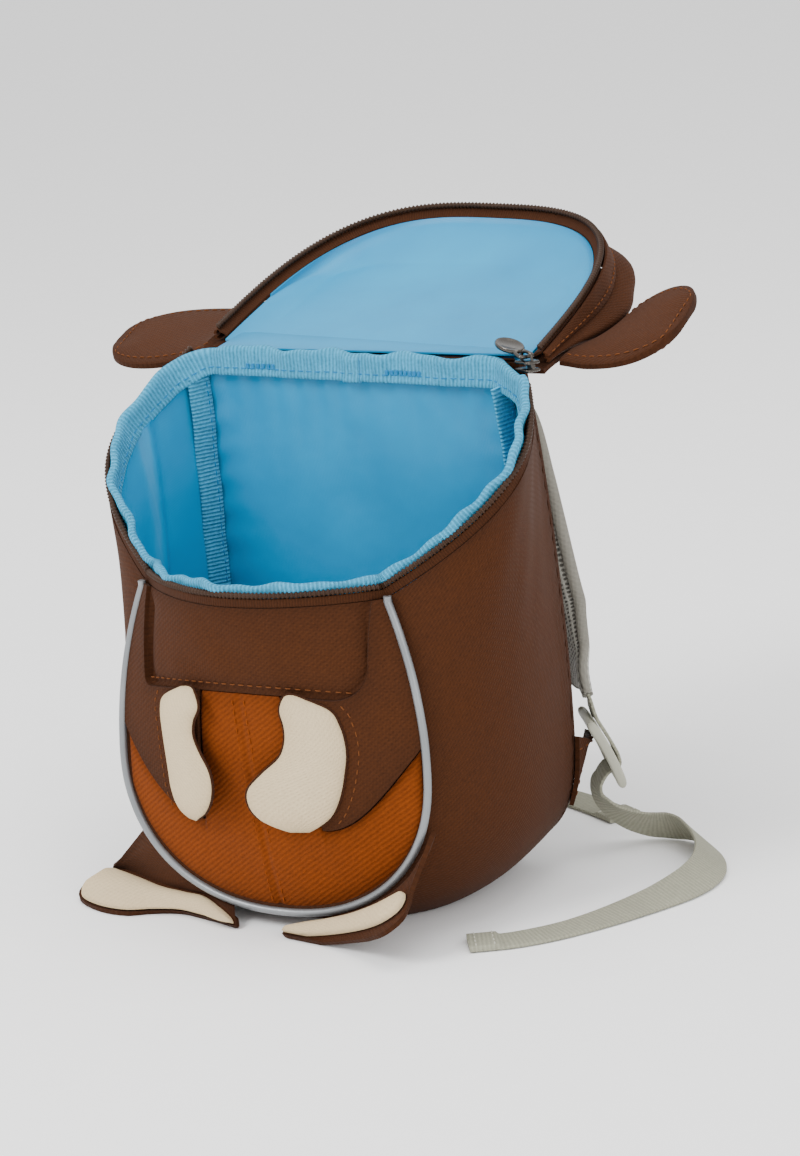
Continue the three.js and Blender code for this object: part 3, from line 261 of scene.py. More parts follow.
def stitches(name, lines, finish, slot="brown_canvas", length=2.3, gap=1.3, radius=0.27, sink=0.05, body="bag"):
    # One small spindle per stitch, at even distances along lines of (points, normals)
    places, ways, lifts = [], [], []
    for line, normal in lines:
        total = np.linalg.norm(np.diff(line, axis=0), axis=1).sum()
        count = max(int(total / (length + gap)), 2)
        both = evenly(np.hstack([line, normal]), count)
        places.append(both[:, :3])
        ways.append(along(both[:, :3]))
        lifts.append(unit(both[:, 3:]))
    place, way, lift = (np.concatenate(part) for part in (places, ways, lifts))
    side, lift = squareTo(way, np.cross(lift, way))
    lift = np.where(np.sum(lift * np.concatenate(lifts), 1, keepdims=True) < 0, -lift, lift)
    t = np.array([-1, -0.8, 0, 0.8, 1]) * length / 2
    r = np.array([0.35, 0.9, 1, 0.9, 0.35]) * radius
    bow = np.array([-0.6, -0.15, 0.25, -0.15, -0.6]) * radius
    angle = np.arange(6) / 6 * 2 * np.pi
    local = np.stack(np.broadcast_arrays(t[:, None], np.cos(angle) * r[:, None],
                                         np.sin(angle) * r[:, None] + bow[:, None]), -1).reshape(-1, 3)
    spots = (place + lift * (radius * 0.5 - sink))[:, None]
    points = spots + way[:, None] * local[:, :1] + side[:, None] * local[:, 1:2] + lift[:, None] * local[:, 2:]
    one = gridFaces(5, 6, False, True)
    ends = np.array([[0, 5, 4, 3], [0, 3, 2, 1], [24, 25, 26, 27], [24, 27, 28, 29]])
    shape = np.vstack([one, ends])
    quads = (shape[None] + (np.arange(len(place)) * 30)[:, None, None]).reshape(-1, 4)
    uv = np.zeros((len(quads), 4, 2))
    return addPiece(name, points.reshape(-1, 3), quads, uv, finish, slot, body=body, crisp=80)


def inflate(piece, pressure, cap, pinned):
    # Cloth simulation with air inside: the pinned seam stays, gravity is off, and the result is scaled
    # down until no point has moved further than cap (mm)
    group = piece.vertex_groups.new(name="sewnEdge")
    group.add([int(i) for i in np.flatnonzero(pinned)], 1, "REPLACE")
    modifier = piece.modifiers.new("padding", "CLOTH")
    modifier.settings.vertex_group_mass = "sewnEdge"
    modifier.settings.use_pressure = True
    modifier.settings.uniform_pressure_force = pressure
    modifier.settings.effector_weights.gravity = 0
    modifier.settings.mass = 0.15
    modifier.point_cache.frame_end = 20
    rest = np.empty(len(piece.data.vertices) * 3)
    piece.data.vertices.foreach_get("co", rest)
    for number in range(1, 21):
        scene.frame_set(number)
    grown = np.empty(len(rest))
    shaped = piece.evaluated_get(bpy.context.evaluated_depsgraph_get()).to_mesh()
    shaped.vertices.foreach_get("co", grown)
    move = (grown - rest).reshape(-1, 3)
    longest = np.linalg.norm(move, axis=1).max() * 1000
    piece.modifiers.remove(modifier)
    piece.vertex_groups.remove(group)
    piece.data.vertices.foreach_set("co", rest + move.ravel() * min(1, cap / max(longest, 1e-6)))
    piece.data.update()
    scene.frame_set(1)
    print(f"{piece.name}: padded, moved {longest:.2f} mm before the cap of {cap}")
    return piece


# Materials


def colour(text):
    # A colour from its six-figure screen value
    part = [int(text[i:i + 2], 16) / 255 for i in (0, 2, 4)]
    return [c / 12.92 if c <= 0.04045 else ((c + 0.055) / 1.055) ** 2.4 for c in part] + [1]


def addNode(tree, kind, values=None, **settings):
    made = tree.nodes.new(kind)
    for key, value in settings.items():
        setattr(made, key, value)
    for key, value in (values or {}).items():
        if isinstance(value, bpy.types.NodeSocket):
            tree.links.new(value, made.inputs[key])
        else:
            made.inputs[key].default_value = value
    return made


def calc(tree, operation, *values):
    return addNode(tree, "ShaderNodeMath", dict(enumerate(values)), operation=operation).outputs[0]


def newGroup(name, inputs, outputs):
    group = bpy.data.node_groups.new(name, "ShaderNodeTree")
    for label, value in inputs.items():
        kind = "NodeSocketColor" if isinstance(value, list) else "NodeSocketFloat"
        group.interface.new_socket(label, in_out="INPUT", socket_type=kind).default_value = value
    for label, kind in outputs.items():
        group.interface.new_socket(label, in_out="OUTPUT", socket_type="NodeSocket" + kind)
    return group, group.nodes.new("NodeGroupInput").outputs, group.nodes.new("NodeGroupOutput").inputs


def mixed(tree, factor, a, b):
    return addNode(tree, "ShaderNodeMix", {0: factor, 6: a, 7: b}, data_type="RGBA").outputs[2]


# Plain weave: warp and weft threads go over and under each other, turned by an angle on the cloth
weaveGroup, given, result = newGroup("clothWeave", {"Threads": 1200.0, "Turn": 0.0, "Twill": 0.5},
                                     {"Height": "Float", "Thread": "Float"})
links = weaveGroup.links
uvMap = addNode(weaveGroup, "ShaderNodeUVMap", uv_map="clothMap").outputs[0]
turned = addNode(weaveGroup, "ShaderNodeVectorRotate", {"Vector": uvMap, "Angle": given["Turn"]},
                 rotation_type="Z_AXIS").outputs[0]
wobble = addNode(weaveGroup, "ShaderNodeTexNoise", {"Vector": turned, "Scale": 260.0, "Detail": 2.0}).outputs[0]
parts = addNode(weaveGroup, "ShaderNodeSeparateXYZ", {0: turned}).outputs
threadWaves = []
for part in parts[:2]:
    place = calc(weaveGroup, "MULTIPLY", part, given["Threads"])
    bent = calc(weaveGroup, "MULTIPLY_ADD", wobble, 1.1, place)
    threadWaves.append(calc(weaveGroup, "SINE", calc(weaveGroup, "MULTIPLY", bent, math.pi)))
crossing = calc(weaveGroup, "MULTIPLY", *threadWaves)
twill = calc(weaveGroup, "MULTIPLY", threadWaves[0], given["Twill"])
crossing = calc(weaveGroup, "MULTIPLY_ADD", crossing, calc(weaveGroup, "SUBTRACT", 1.0, given["Twill"]), twill)
height = calc(weaveGroup, "MULTIPLY_ADD", crossing, 0.5, 0.5)
links.new(height, result["Height"])
# Thread: the weave's height with some random tone; used as colour it paints shade in the low places between the
# threads
links.new(calc(weaveGroup, "MULTIPLY_ADD", wobble, 0.35, calc(weaveGroup, "MULTIPLY", height, 0.65)),
          result["Thread"])

# Tone: uneven dye, painted shade in the low places between the threads, and a painted shade line along the seams
toneAndShadeGroup, given, result = newGroup("clothToneAndShade", {"Colour": [0.5] * 3 + [1], "Seam shade colour": [0.1] * 3 + [1],
                                                 "Thread": 0.5, "Contrast": 0.3, "Uneven": 0.15, "Seam": 0.4},
                                    {"Colour": "Color", "Roughness": "Float"})
links = toneAndShadeGroup.links
here = addNode(toneAndShadeGroup, "ShaderNodeTexCoord").outputs["Object"]
cloud = addNode(toneAndShadeGroup, "ShaderNodeTexNoise", {"Vector": here, "Scale": 38.0, "Detail": 4.0,
                                                  "Roughness": 0.6}).outputs[0]
fleck = addNode(toneAndShadeGroup, "ShaderNodeTexNoise", {"Vector": here, "Scale": 900.0, "Detail": 2.0}).outputs[0]
seamShade = addNode(toneAndShadeGroup, "ShaderNodeAttribute", attribute_name="seamShade").outputs["Fac"]
# Lighter on the high threads and darker between them: painted shade in the weave
tone = calc(toneAndShadeGroup, "MULTIPLY", calc(toneAndShadeGroup, "SUBTRACT", given["Thread"], 0.5), given["Contrast"])
tone = calc(toneAndShadeGroup, "ADD", tone, calc(toneAndShadeGroup, "MULTIPLY", calc(toneAndShadeGroup, "SUBTRACT", cloud, 0.5),
                                         given["Uneven"]))
tone = calc(toneAndShadeGroup, "ADD", tone, calc(toneAndShadeGroup, "MULTIPLY", calc(toneAndShadeGroup, "SUBTRACT", fleck, 0.5),
                                         given["Contrast"]))
factor = calc(toneAndShadeGroup, "ADD", tone, 1.0)
bright = addNode(toneAndShadeGroup, "ShaderNodeVectorMath", {0: given["Colour"], "Scale": factor},
                 operation="SCALE").outputs[0]
# Mixed towards the seam colour where the seamShade mask is high: painted shade in the valleys along the seams
links.new(mixed(toneAndShadeGroup, calc(toneAndShadeGroup, "MULTIPLY", seamShade, given["Seam"]), bright,
                given["Seam shade colour"]), result["Colour"])
links.new(calc(toneAndShadeGroup, "MULTIPLY_ADD", cloud, 0.25, 0.68), result["Roughness"])

# Crosswise ribs of webbing and tape, along U
ribGroup, given, result = newGroup("crossRibs", {"Ribs": 900.0, "Grain": 2400.0},
                                   {"Height": "Float", "Thread": "Float"})
links = ribGroup.links
uvMap = addNode(ribGroup, "ShaderNodeUVMap", uv_map="clothMap").outputs[0]
parts = addNode(ribGroup, "ShaderNodeSeparateXYZ", {0: uvMap}).outputs
wobble = addNode(ribGroup, "ShaderNodeTexNoise", {"Vector": uvMap, "Scale": 350.0, "Detail": 2.0}).outputs[0]
rib = calc(ribGroup, "SINE", calc(ribGroup, "MULTIPLY_ADD", calc(ribGroup, "MULTIPLY", parts[0], given["Ribs"]),
                                  6.283, calc(ribGroup, "MULTIPLY", wobble, 2.0)))
grain = calc(ribGroup, "SINE", calc(ribGroup, "MULTIPLY", calc(ribGroup, "MULTIPLY", parts[1], given["Grain"]),
                                    6.283))
height = calc(ribGroup, "MULTIPLY_ADD", rib, 0.4, calc(ribGroup, "MULTIPLY_ADD", grain, 0.12, 0.5))
links.new(height, result["Height"])
# Thread: the ribs' height with some random tone; used as colour it paints shade in the grooves between the ribs
links.new(calc(ribGroup, "MULTIPLY_ADD", wobble, 0.3, calc(ribGroup, "MULTIPLY", height, 0.7)),
          result["Thread"])


def newMaterial(name):
    made = bpy.data.materials.new(name)
    made.use_nodes = True
    tree = made.node_tree
    return made, tree, tree.nodes["Principled BSDF"].inputs


def clothMaterial(name, look):
    # Weave or ribs feed colour, roughness and bump of one cloth; in the colour the weave paints shade between the
    # threads, and the seamShade mask paints shade along the seams
    made, tree, shader = newMaterial(name)
    if look.get("ribs"):
        texture = addNode(tree, "ShaderNodeGroup", node_tree=ribGroup)
        texture.inputs["Ribs"].default_value = look["ribs"]
    else:
        texture = addNode(tree, "ShaderNodeGroup", node_tree=weaveGroup)
        texture.inputs["Threads"].default_value = look["threads"]
        texture.inputs["Turn"].default_value = look.get("turn", 0.9)
        texture.inputs["Twill"].default_value = look.get("twill", 0.5)
    toneAndShade = addNode(tree, "ShaderNodeGroup", node_tree=toneAndShadeGroup)
    tree.links.new(texture.outputs["Thread"], toneAndShade.inputs["Thread"])
    toneAndShade.inputs["Colour"].default_value = colour(look["colour"])
    toneAndShade.inputs["Seam shade colour"].default_value = colour(look["seamShadeColour"])
    for label in ("contrast", "uneven", "seam"):
        toneAndShade.inputs[label.capitalize()].default_value = look[label]
    tree.links.new(toneAndShade.outputs["Colour"], shader["Base Color"])
    tree.links.new(toneAndShade.outputs["Roughness"], shader["Roughness"])
    here = addNode(tree, "ShaderNodeTexCoord").outputs["Object"]
    creases = addNode(tree, "ShaderNodeTexNoise", {"Vector": here, "Scale": 70.0, "Detail": 3.0}).outputs[0]
    total = calc(tree, "MULTIPLY_ADD", creases, look.get("creases", 1.0), texture.outputs["Height"])
    bump = addNode(tree, "ShaderNodeBump", {"Height": total, "Strength": look["bump"],
                                            "Distance": look.get("depth", 0.0003)}).outputs[0]
    tree.links.new(bump, shader["Normal"])
    shader["Sheen Weight"].default_value = look.get("sheen", 0.02)
    shader["Sheen Roughness"].default_value = 0.5
    shader["Specular IOR Level"].default_value = look.get("specular", 0.08)
    return made


# seam: how strongly shade is painted along the seams, in the seam colour
canvas = dict(threads=1250, contrast=0.55, uneven=0.25, seam=0.35, bump=0.6)
brownCanvas = clothMaterial("brownCanvas", dict(canvas, colour="3d200e", seamShadeColour="1f0f06"))
# A darker copy of the brown canvas for brown cloth that lies in shade: its darkness is painted shade
shadedBrownCanvas = clothMaterial("shadedBrownCanvas", dict(canvas, colour="331b0d", seamShadeColour="1a0d06"))
orangeCanvas = clothMaterial("orangeCanvas", dict(canvas, colour="692f06", seamShadeColour="341602", threads=1150,
                                                  turn=0.95, twill=0.85))
creamCanvas = clothMaterial("creamCanvas", dict(canvas, colour="c9b592", seamShadeColour="a38f6c", contrast=0.18,
                                                uneven=0.1))
greyWebbing = clothMaterial("greyWebbing", dict(canvas, colour="929180", seamShadeColour="7b7a6c", ribs=620.0,
                                                contrast=0.3, bump=0.9))
greyCloth = clothMaterial("greyCloth", dict(canvas, colour="7d7a71", seamShadeColour="66645c", contrast=0.2))
blueBinding = clothMaterial("blueBinding", dict(canvas, colour="3f9fc6", seamShadeColour="2480ac", ribs=640.0,
                                                contrast=0.8, uneven=0.25, bump=1.0, depth=0.0007, sheen=0.05))
brownTape = clothMaterial("brownTape", dict(canvas, colour="371d0d", seamShadeColour="1f1007", ribs=900.0))


def threadMaterial(name, text):
    return clothMaterial(name, dict(canvas, colour=text, seamShadeColour=text, threads=3000))


brownThread = threadMaterial("brownThread", "5b3318")
orangeThread = threadMaterial("orangeThread", "713306")
blueThread = threadMaterial("blueThread", "1d6f9e")
greyThread = threadMaterial("greyThread", "aaa89c")


def satinLining():
    # Thin shiny nylon: a very fine weave, soft creases and a broad highlight
    made, tree, shader = newMaterial("satinLining")
    texture = addNode(tree, "ShaderNodeGroup", node_tree=weaveGroup)
    texture.inputs["Threads"].default_value = 3000
    here = addNode(tree, "ShaderNodeTexCoord").outputs["Object"]
    cloud = addNode(tree, "ShaderNodeTexNoise", {"Vector": here, "Scale": 26.0, "Detail": 3.0}).outputs[0]
    seamShade = addNode(tree, "ShaderNodeAttribute", attribute_name="seamShade").outputs["Fac"]
    base = mixed(tree, cloud, colour("0078a6"), colour("0494c4"))
    # Darker blue towards the seams through the seamShade mask: painted shade along the seams
    base = mixed(tree, calc(tree, "MULTIPLY", seamShade, 0.3), base, colour("005684"))
    tree.links.new(base, shader["Base Color"])
    tree.links.new(calc(tree, "MULTIPLY_ADD", texture.outputs["Thread"], 0.14, 0.3), shader["Roughness"])
    total = calc(tree, "MULTIPLY_ADD", cloud, 6.0, calc(tree, "MULTIPLY", texture.outputs["Height"], 0.25))
    tree.links.new(addNode(tree, "ShaderNodeBump", {"Height": total, "Strength": 0.5,
                                                    "Distance": 0.0004}).outputs[0], shader["Normal"])
    shader["Sheen Weight"].default_value = 0.02
    shader["Specular IOR Level"].default_value = 0.3
    return made


def spacerMesh():
    # Open mesh cloth: round holes in an offset grid, over a darker ground
    made, tree, shader = newMaterial("spacerMesh")
    uvMap = addNode(tree, "ShaderNodeUVMap", uv_map="clothMap").outputs[0]
    cells = addNode(tree, "ShaderNodeTexVoronoi", {"Vector": uvMap, "Scale": 480.0, "Randomness": 0.12},
                    voronoi_dimensions="2D").outputs["Distance"]
    hole = addNode(tree, "ShaderNodeMapRange", {0: cells, 1: 0.22, 2: 0.4, 3: 0.0, 4: 1.0}).outputs[0]
    tree.links.new(mixed(tree, hole, colour("4f4d46"), colour("9e9c92")), shader["Base Color"])
    tree.links.new(calc(tree, "MULTIPLY_ADD", hole, -0.2, 0.95), shader["Roughness"])
    tree.links.new(addNode(tree, "ShaderNodeBump", {"Height": hole, "Strength": 0.8,
                                                    "Distance": 0.0006}).outputs[0], shader["Normal"])
    shader["Sheen Weight"].default_value = 0.2
    return made


def hardMaterial(name, dark, light, roughness, metal, coat=0.0, grain=400.0, bump=0.1,
                 specular=0.5):
    # Smooth plastic or metal with fine scratches and slightly uneven tone
    made, tree, shader = newMaterial(name)
    here = addNode(tree, "ShaderNodeTexCoord").outputs["Object"]
    fine = addNode(tree, "ShaderNodeTexNoise", {"Vector": here, "Scale": grain, "Detail": 5.0}).outputs[0]
    wide = addNode(tree, "ShaderNodeTexNoise", {"Vector": here, "Scale": 60.0, "Detail": 2.0}).outputs[0]
    tree.links.new(mixed(tree, wide, colour(dark), colour(light)), shader["Base Color"])
    tree.links.new(calc(tree, "MULTIPLY_ADD", fine, 0.2, roughness - 0.1), shader["Roughness"])
    tree.links.new(addNode(tree, "ShaderNodeBump", {"Height": fine, "Strength": bump,
                                                    "Distance": 0.0002}).outputs[0], shader["Normal"])
    shader["Metallic"].default_value = metal
    shader["Coat Weight"].default_value = coat
    shader["Specular IOR Level"].default_value = specular
    return made


liningSatin = satinLining()
strapMesh = spacerMesh()
silverPiping = hardMaterial("silverPiping", "6f7275", "8b8e90", 0.4, 0.5, grain=1500.0, bump=0.35)
zipNylon = hardMaterial("zipNylon", "24150b", "3a2516", 0.45, 0.0, specular=0.2)
lockPlastic = hardMaterial("lockPlastic", "9b9a8a", "a8a797", 0.5, 0.0)
gunMetal = hardMaterial("gunMetal", "3a3632", "57524c", 0.28, 0.95, coat=0.3)
floorPaper = hardMaterial("floorPaper", "fafafa", "fdfdfd", 0.9, 0.0, grain=8.0, bump=0.0)
print("materials made")

# Camera, light and floor

cameraView = dict(azimuth=31.3, elevation=14.0, roll=-4.8, distance=1347, right=30.4, up=15.7, height=110,
                  lens=156.7)


def addCamera(look):
    # The turned camera looks at a point over the base's centre; right and up shift what it sees
    a, e, r = (math.radians(look[k]) for k in ("azimuth", "elevation", "roll"))
    back = np.array([math.sin(a) * math.cos(e), -math.cos(a) * math.cos(e), math.sin(e)])
    right = np.array([math.cos(a), math.sin(a), 0])
    turn = np.array([[math.cos(r), math.sin(r), 0], [-math.sin(r), math.cos(r), 0], [0, 0, 1]])
    axes = turn @ np.stack([right, np.cross(back, right), back])
    place = axes.T @ np.array([look["right"], look["up"], look["distance"]]) + [0, 0, look["height"]]
    matrix = np.eye(4)
    matrix[:3, :3] = axes.T
    matrix[:3, 3] = place / 1000
    camera = bpy.data.objects.new("camera", bpy.data.cameras.new("camera"))
    camera.data.sensor_fit = "HORIZONTAL"
    camera.data.sensor_width = 36
    camera.data.lens = look["lens"]
    scene.collection.objects.link(camera)
    camera.matrix_world = Matrix(matrix.tolist())
    scene.camera = camera


def addLight(name, place, size, power, aim=(0, 0, 0.11)):
    light = bpy.data.objects.new(name, bpy.data.lights.new(name, "AREA"))
    light.data.shape = "DISK"
    light.data.size = size
    light.data.energy = power
    scene.collection.objects.link(light)
    light.location = place
    towards = np.array(aim) - np.array(place)
    light.rotation_euler = Vector(towards).to_track_quat("-Z", "Y").to_euler()


addCamera(cameraView)
addLight("keyLight", (-0.75, -1.3, 1.5), 0.9, 34)
addLight("fillLight", (1.6, -0.9, 0.8), 1.2, 15)
addLight("topLight", (0.1, 0.1, 1.7), 1.2, 13)
world = bpy.data.worlds.new("softWorld")
world.use_nodes = True
world.node_tree.nodes["Background"].inputs[0].default_value = (1, 1, 1, 1)
world.node_tree.nodes["Background"].inputs[1].default_value = 1.3
scene.world = world

floorMesh = bpy.data.meshes.new("floor")
floorMesh.from_pydata([(-9, -9, -0.0002), (9, -9, -0.0002), (9, 9, -0.0002), (-9, 9, -0.0002)], [],
                      [(0, 1, 2, 3)])
floorMesh.materials.append(floorPaper)
floor = bpy.data.objects.new("floor", floorMesh)
scene.collection.objects.link(floor)
print("camera, light and floor placed")

# Body: the front and back seams and the gusset between them

cornerShare = 0.55
frontSeam = dict(half=67, topLeft=53.2, topRight=53.2, widest=65, bottom=8, top=131, roundness=2.2, taper=2)
backSeam = dict(half=79.5, topLeft=77, topRight=71.8, widest=75, bottom=3, top=203, roundness=4, taper=1.5)
shape = dict(pipingLow=46.5, pipingTop=37.8, belly=25, backDepth=50, backLean=4, sideBulge=12, bottomBulge=13,
             flareRight=19, flareLeft=14, rimLift=6.5, wall=1.8, liningOver=3, liningUnder=4)


def seamShape(w, seam):
    # A U-shaped seam from w = -1 (left top) over 0 (bottom) to 1: a superellipse, then a tapered side
    side = np.where(w < 0, -1.0, 1.0)
    share = np.minimum(np.abs(w) / cornerShare, 1)
    angle = share * np.pi / 2
    rise = np.clip((np.abs(w) - cornerShare) / (1 - cornerShare), 0, 1)
    power = 2 / seam["roundness"]
    top = np.where(side > 0, seam["topRight"], seam["topLeft"])
    x = side * (seam["half"] * np.sin(angle) ** power - (seam["half"] - top) * rise ** seam["taper"])
    low = seam["widest"] - (seam["widest"] - seam["bottom"]) * np.maximum(np.cos(angle), 0) ** power
    z = np.where(share < 1, low, lerp(seam["widest"], seam["top"], rise))
    return x, z, vector(side * np.sin(angle), 0, -np.cos(angle)), rise, share, side


def heightShare(z):
    return np.clip((z - frontSeam["bottom"]) / (frontSeam["top"] - frontSeam["bottom"]), 0, 1)


def pipingY(z):
    return -lerp(shape["pipingLow"], shape["pipingTop"], heightShare(z))


def frontHalfAt(z):
    drop = np.clip((frontSeam["widest"] - z) / (frontSeam["widest"] - frontSeam["bottom"]), 0, 1)
    rise = np.clip((z - frontSeam["widest"]) / (frontSeam["top"] - frontSeam["widest"]), 0, 1)
    round_ = frontSeam["roundness"]
    low = frontSeam["half"] * (1 - drop**round_) ** (1 / round_)
    return np.where(z < frontSeam["widest"], low,
                    frontSeam["half"] - (frontSeam["half"] - frontSeam["topLeft"]) * rise**2)


def frontLowAt(x):
    share = np.clip(np.abs(x) / frontSeam["half"], 0, 1)
    round_ = frontSeam["roundness"]
    return frontSeam["widest"] - (frontSeam["widest"] - frontSeam["bottom"]) * (1 - share**round_) ** (1 / round_)


def frontPoint(x, z):
    # The front swells out of the piping, most in the middle and at the top
    bulge = shape["belly"] * (1 - (1 - heightShare(z)) ** 1.6)
    across = np.clip(np.abs(x) / np.maximum(frontHalfAt(z), 1), 0, 1)
    return vector(x, pipingY(z) - bulge * (1 - across**2), z)


def pipingPoint(w):
    x, z, *_ = seamShape(w, frontSeam)
    return vector(x, pipingY(z), z)


def backSeamPoint(w):
    x, z, _, rise, *_ = seamShape(w, backSeam)
    return vector(x, shape["backDepth"] - shape["backLean"] * rise**3, z)


def gussetPoint(w, t):
    # From the piping, t = 0, to the back seam, t = 1, with a hump that flares at the open mouth
    x, z, out, rise, share, side = seamShape(w, frontSeam)
    flare = np.where(side > 0, shape["flareRight"], shape["flareLeft"])
    amount = lerp(shape["bottomBulge"], shape["sideBulge"], share) + flare * rise**2.5
    hump = 4 * t * (1 - t)
    p = lerp(pipingPoint(w), backSeamPoint(w), t[..., None])
    p = p + out * (amount * hump * (1 + 0.4 * (1 - 2 * t)))[..., None]
    p[..., 2] += shape["rimLift"] * rise**4 * hump * (1 + 0.7 * (1 - 2 * t))
    p[..., 2] = np.maximum(p[..., 2], 0)
    return p


gussetLook = dict(start=0.009, end=0.9967, dents=1.1, creases=0.5, puckers=0.25)


def makeGusset(look):
    # The gusset surface with broad soft dents, finer creases near the mouth and puckers along its seams
    w, t = grid(270, 80, (-1, 1), (look["start"], look["end"]))
    p = gussetPoint(w, t)
    rise = np.clip((np.abs(w) - 0.5) / 0.5, 0, 1)
    inner = smooth(np.minimum(t, 1 - t) * 9)
    onGround = smooth(p[..., 2] / 12)
    soft = look["dents"] * waves(w * 3, t * 1.2, 3, 0.4, 1.0)
    soft = soft + look["creases"] * rise * waves(w * 4, t * 2, 5, 1, 2.4)
    nearSeam = np.exp(-np.minimum(t, 1 - t) * 28)
    pucker = look["puckers"] * nearSeam * np.sin(w * 260 + 3 * waves(w * 8, t, 6, 0.6, 2))
    return wall("brownGusset", p, onGround * (pucker - soft * inner), shape["wall"], brownCanvas,
                "brown_canvas", floor=(0, shape["wall"]), stands="side_gusset")


makeGusset(gussetLook)
print("gusset made")

frontLook = dict(chestHalf=49, chestSeam=98, chestCorner=94, armOuter=76, armLow=44, wristTop=18, wristLow=27,
                 backingOver=-1.85, backingUnder=-2.85)


def seamHeight(x):
    half = frontLook["chestHalf"]
    return lerp(frontLook["chestSeam"], frontLook["chestCorner"], np.clip(np.abs(x) / half, 0, 1) ** 2)


def frontPanel(name, x, z, pad, width, wrinkles, seed, finish, slot, stands, flip=1, extra=0):
    # A panel of the front: padded between its seams, so that each seam is a valley
    p = frontPoint(x, z)
    d = np.clip(seamDistance(p) / width, 0, 1)
    puff = 1 - (1 - d) ** 2
    soft = wrinkles * waves(x / 30, z / 30, seed, 0.5, 1.6)
    uv = np.stack([x, z], -1) / 1000
    wall(name, p, flip * (puff * (pad + soft) + extra), -flip * shape["wall"], finish, slot, uv=uv, stands=stands)
    return p, gridNormals(p) * flip


cornerLook = dict(right=13, left=4)


def cornerRise(x, radius):
    # How far the chest's lower corner is rounded up, a quarter circle beside the arm
    inside = np.clip(np.abs(x) - (frontLook["chestHalf"] - radius), 0, radius)
    return radius - np.sqrt(np.maximum(radius**2 - inside**2, 0))


def chestLow(x):
    radius = np.where(x > 0, cornerLook["right"], cornerLook["left"])
    return seamHeight(x) + cornerRise(x, radius)


def makeChest():
    u, v = grid(140, 50)
    half = frontLook["chestHalf"]
    x = lerp(-half, half, 0.5 - 0.5 * np.cos(np.pi * (0.06 + 0.88 * u)) / np.cos(np.pi * 0.06))
    z = lerp(chestLow(x) + 0.05, frontSeam["top"], v)
    # Sunk beside the left arm, where the cloth is folded in
    sink = -2.2 * np.exp(-((x + half) / 5) ** 2) * smooth((131 - z) / 8) - 0.9 * np.exp(-((half - x) / 4) ** 2)
    sink = sink - 1.0 * np.exp(-((z - seamHeight(x)) / 4) ** 2)
    frontPanel("chestCloth", x, z, 0.6, 8, 0.8, 11, brownCanvas, "brown_canvas", "chest_panel",
               extra=sink * np.minimum(1, seamDistance(frontPoint(x, z)) / 1.5))


def makeArm(side, end):
    # Between the piping side and the chest side, from the shoulder down and in to the wrist. Gives the
    # line of its stitches, a row of the grid just inside its inner seam
    u, v = grid(120, 50)
    outerHalf = frontHalfAt(np.asarray(float(frontLook["armOuter"]))) - 0.8
    k = np.clip((u - 0.5) / 0.5, 0, 1)
    zSide = lerp(frontSeam["top"], frontLook["armOuter"], np.minimum(u / 0.5, 1))
    outerX = np.where(u < 0.5, frontHalfAt(zSide) - 0.8, lerp(outerHalf, frontLook["wristLow"], k))
    outerZ = np.where(u < 0.5, zSide, lerp(frontLook["armOuter"], frontLook["armLow"], np.sin(k * np.pi / 2)))
    inner = frontLook["chestHalf"]
    low = seamHeight(np.asarray(float(inner)))
    turn = np.linspace(0, np.pi / 2, 30)
    radius = cornerLook[end.lower()]
    bend = inner - radius * (1 - np.cos(turn))
    below = np.linspace(bend[-1], frontLook["wristTop"], 40)[1:]
    border = np.vstack([np.column_stack([[inner] * 2, [frontSeam["top"], low + radius + 0.2]]),
                        np.column_stack([bend, seamHeight(bend) + radius * (1 - np.sin(turn))]),
                        np.column_stack([below, seamHeight(below)])])
    border = evenly(border, u.shape[1])
    x, z = side * lerp(outerX, border[:, 0], v), lerp(outerZ, border[:, 1] - 0.05, v)
    p, n = frontPanel("armCloth" + end, x, z, 1.7, 7, 0.5, 18 - side, brownCanvas, "brown_canvas",
                      "arm_panel_" + end.lower(), flip=side)
    row, columns = 4, slice(62, 118)
    return p[row, columns] + n[row, columns] * 1.5, n[row, columns]


def makeBelly():
    u, v = grid(170, 90)
    widest = frontHalfAt(np.asarray(float(frontLook["armOuter"]))) - 1
    x = lerp(-widest, widest, u)
    a = np.abs(x)
    wristTop, wristLow = frontLook["wristTop"] - 0.4, frontLook["wristLow"] - 0.4
    middle = seamHeight(x) - 0.4
    slope = lerp(seamHeight(x) - 0.8, frontLook["armLow"] - 0.8, np.clip((a - wristTop) / 9, 0, 1))
    k = np.clip((a - frontLook["wristLow"]) / (widest - frontLook["wristLow"]), 0, 1)
    sideTop = lerp(frontLook["armOuter"], frontLook["armLow"], np.cos(k * np.pi / 2)) - 1.2
    top = np.where(a < wristTop, middle, np.where(a < wristLow, slope, sideTop))
    low = frontLowAt(x) + 0.8
    z = lerp(low, top, v)
    groove = -0.8 * np.exp(-(x / 1.3) ** 2)
    frontPanel("bellyCloth", x, z, 0.9, 7, 0.5, 23, orangeCanvas, "orange_canvas", "belly_panel", extra=groove)


def makeBacking():
    # The seam allowances behind the panels: one layer of the darker brown canvas that closes the valleys, its
    # darkness painted shade in the seams between the panels
    u, v = grid(80, 70)
    z = lerp(frontSeam["bottom"] + 1, frontSeam["top"] + 0.2, v)
    half = frontHalfAt(z) - 0.4
    wall("frontBacking", frontPoint(lerp(-half, half, u), z), frontLook["backingOver"], frontLook["backingUnder"],
         shadedBrownCanvas, "brown_canvas")


makeBacking()
makeChest()
armLines = [makeArm(1, "Right"), makeArm(-1, "Left")]
makeBelly()


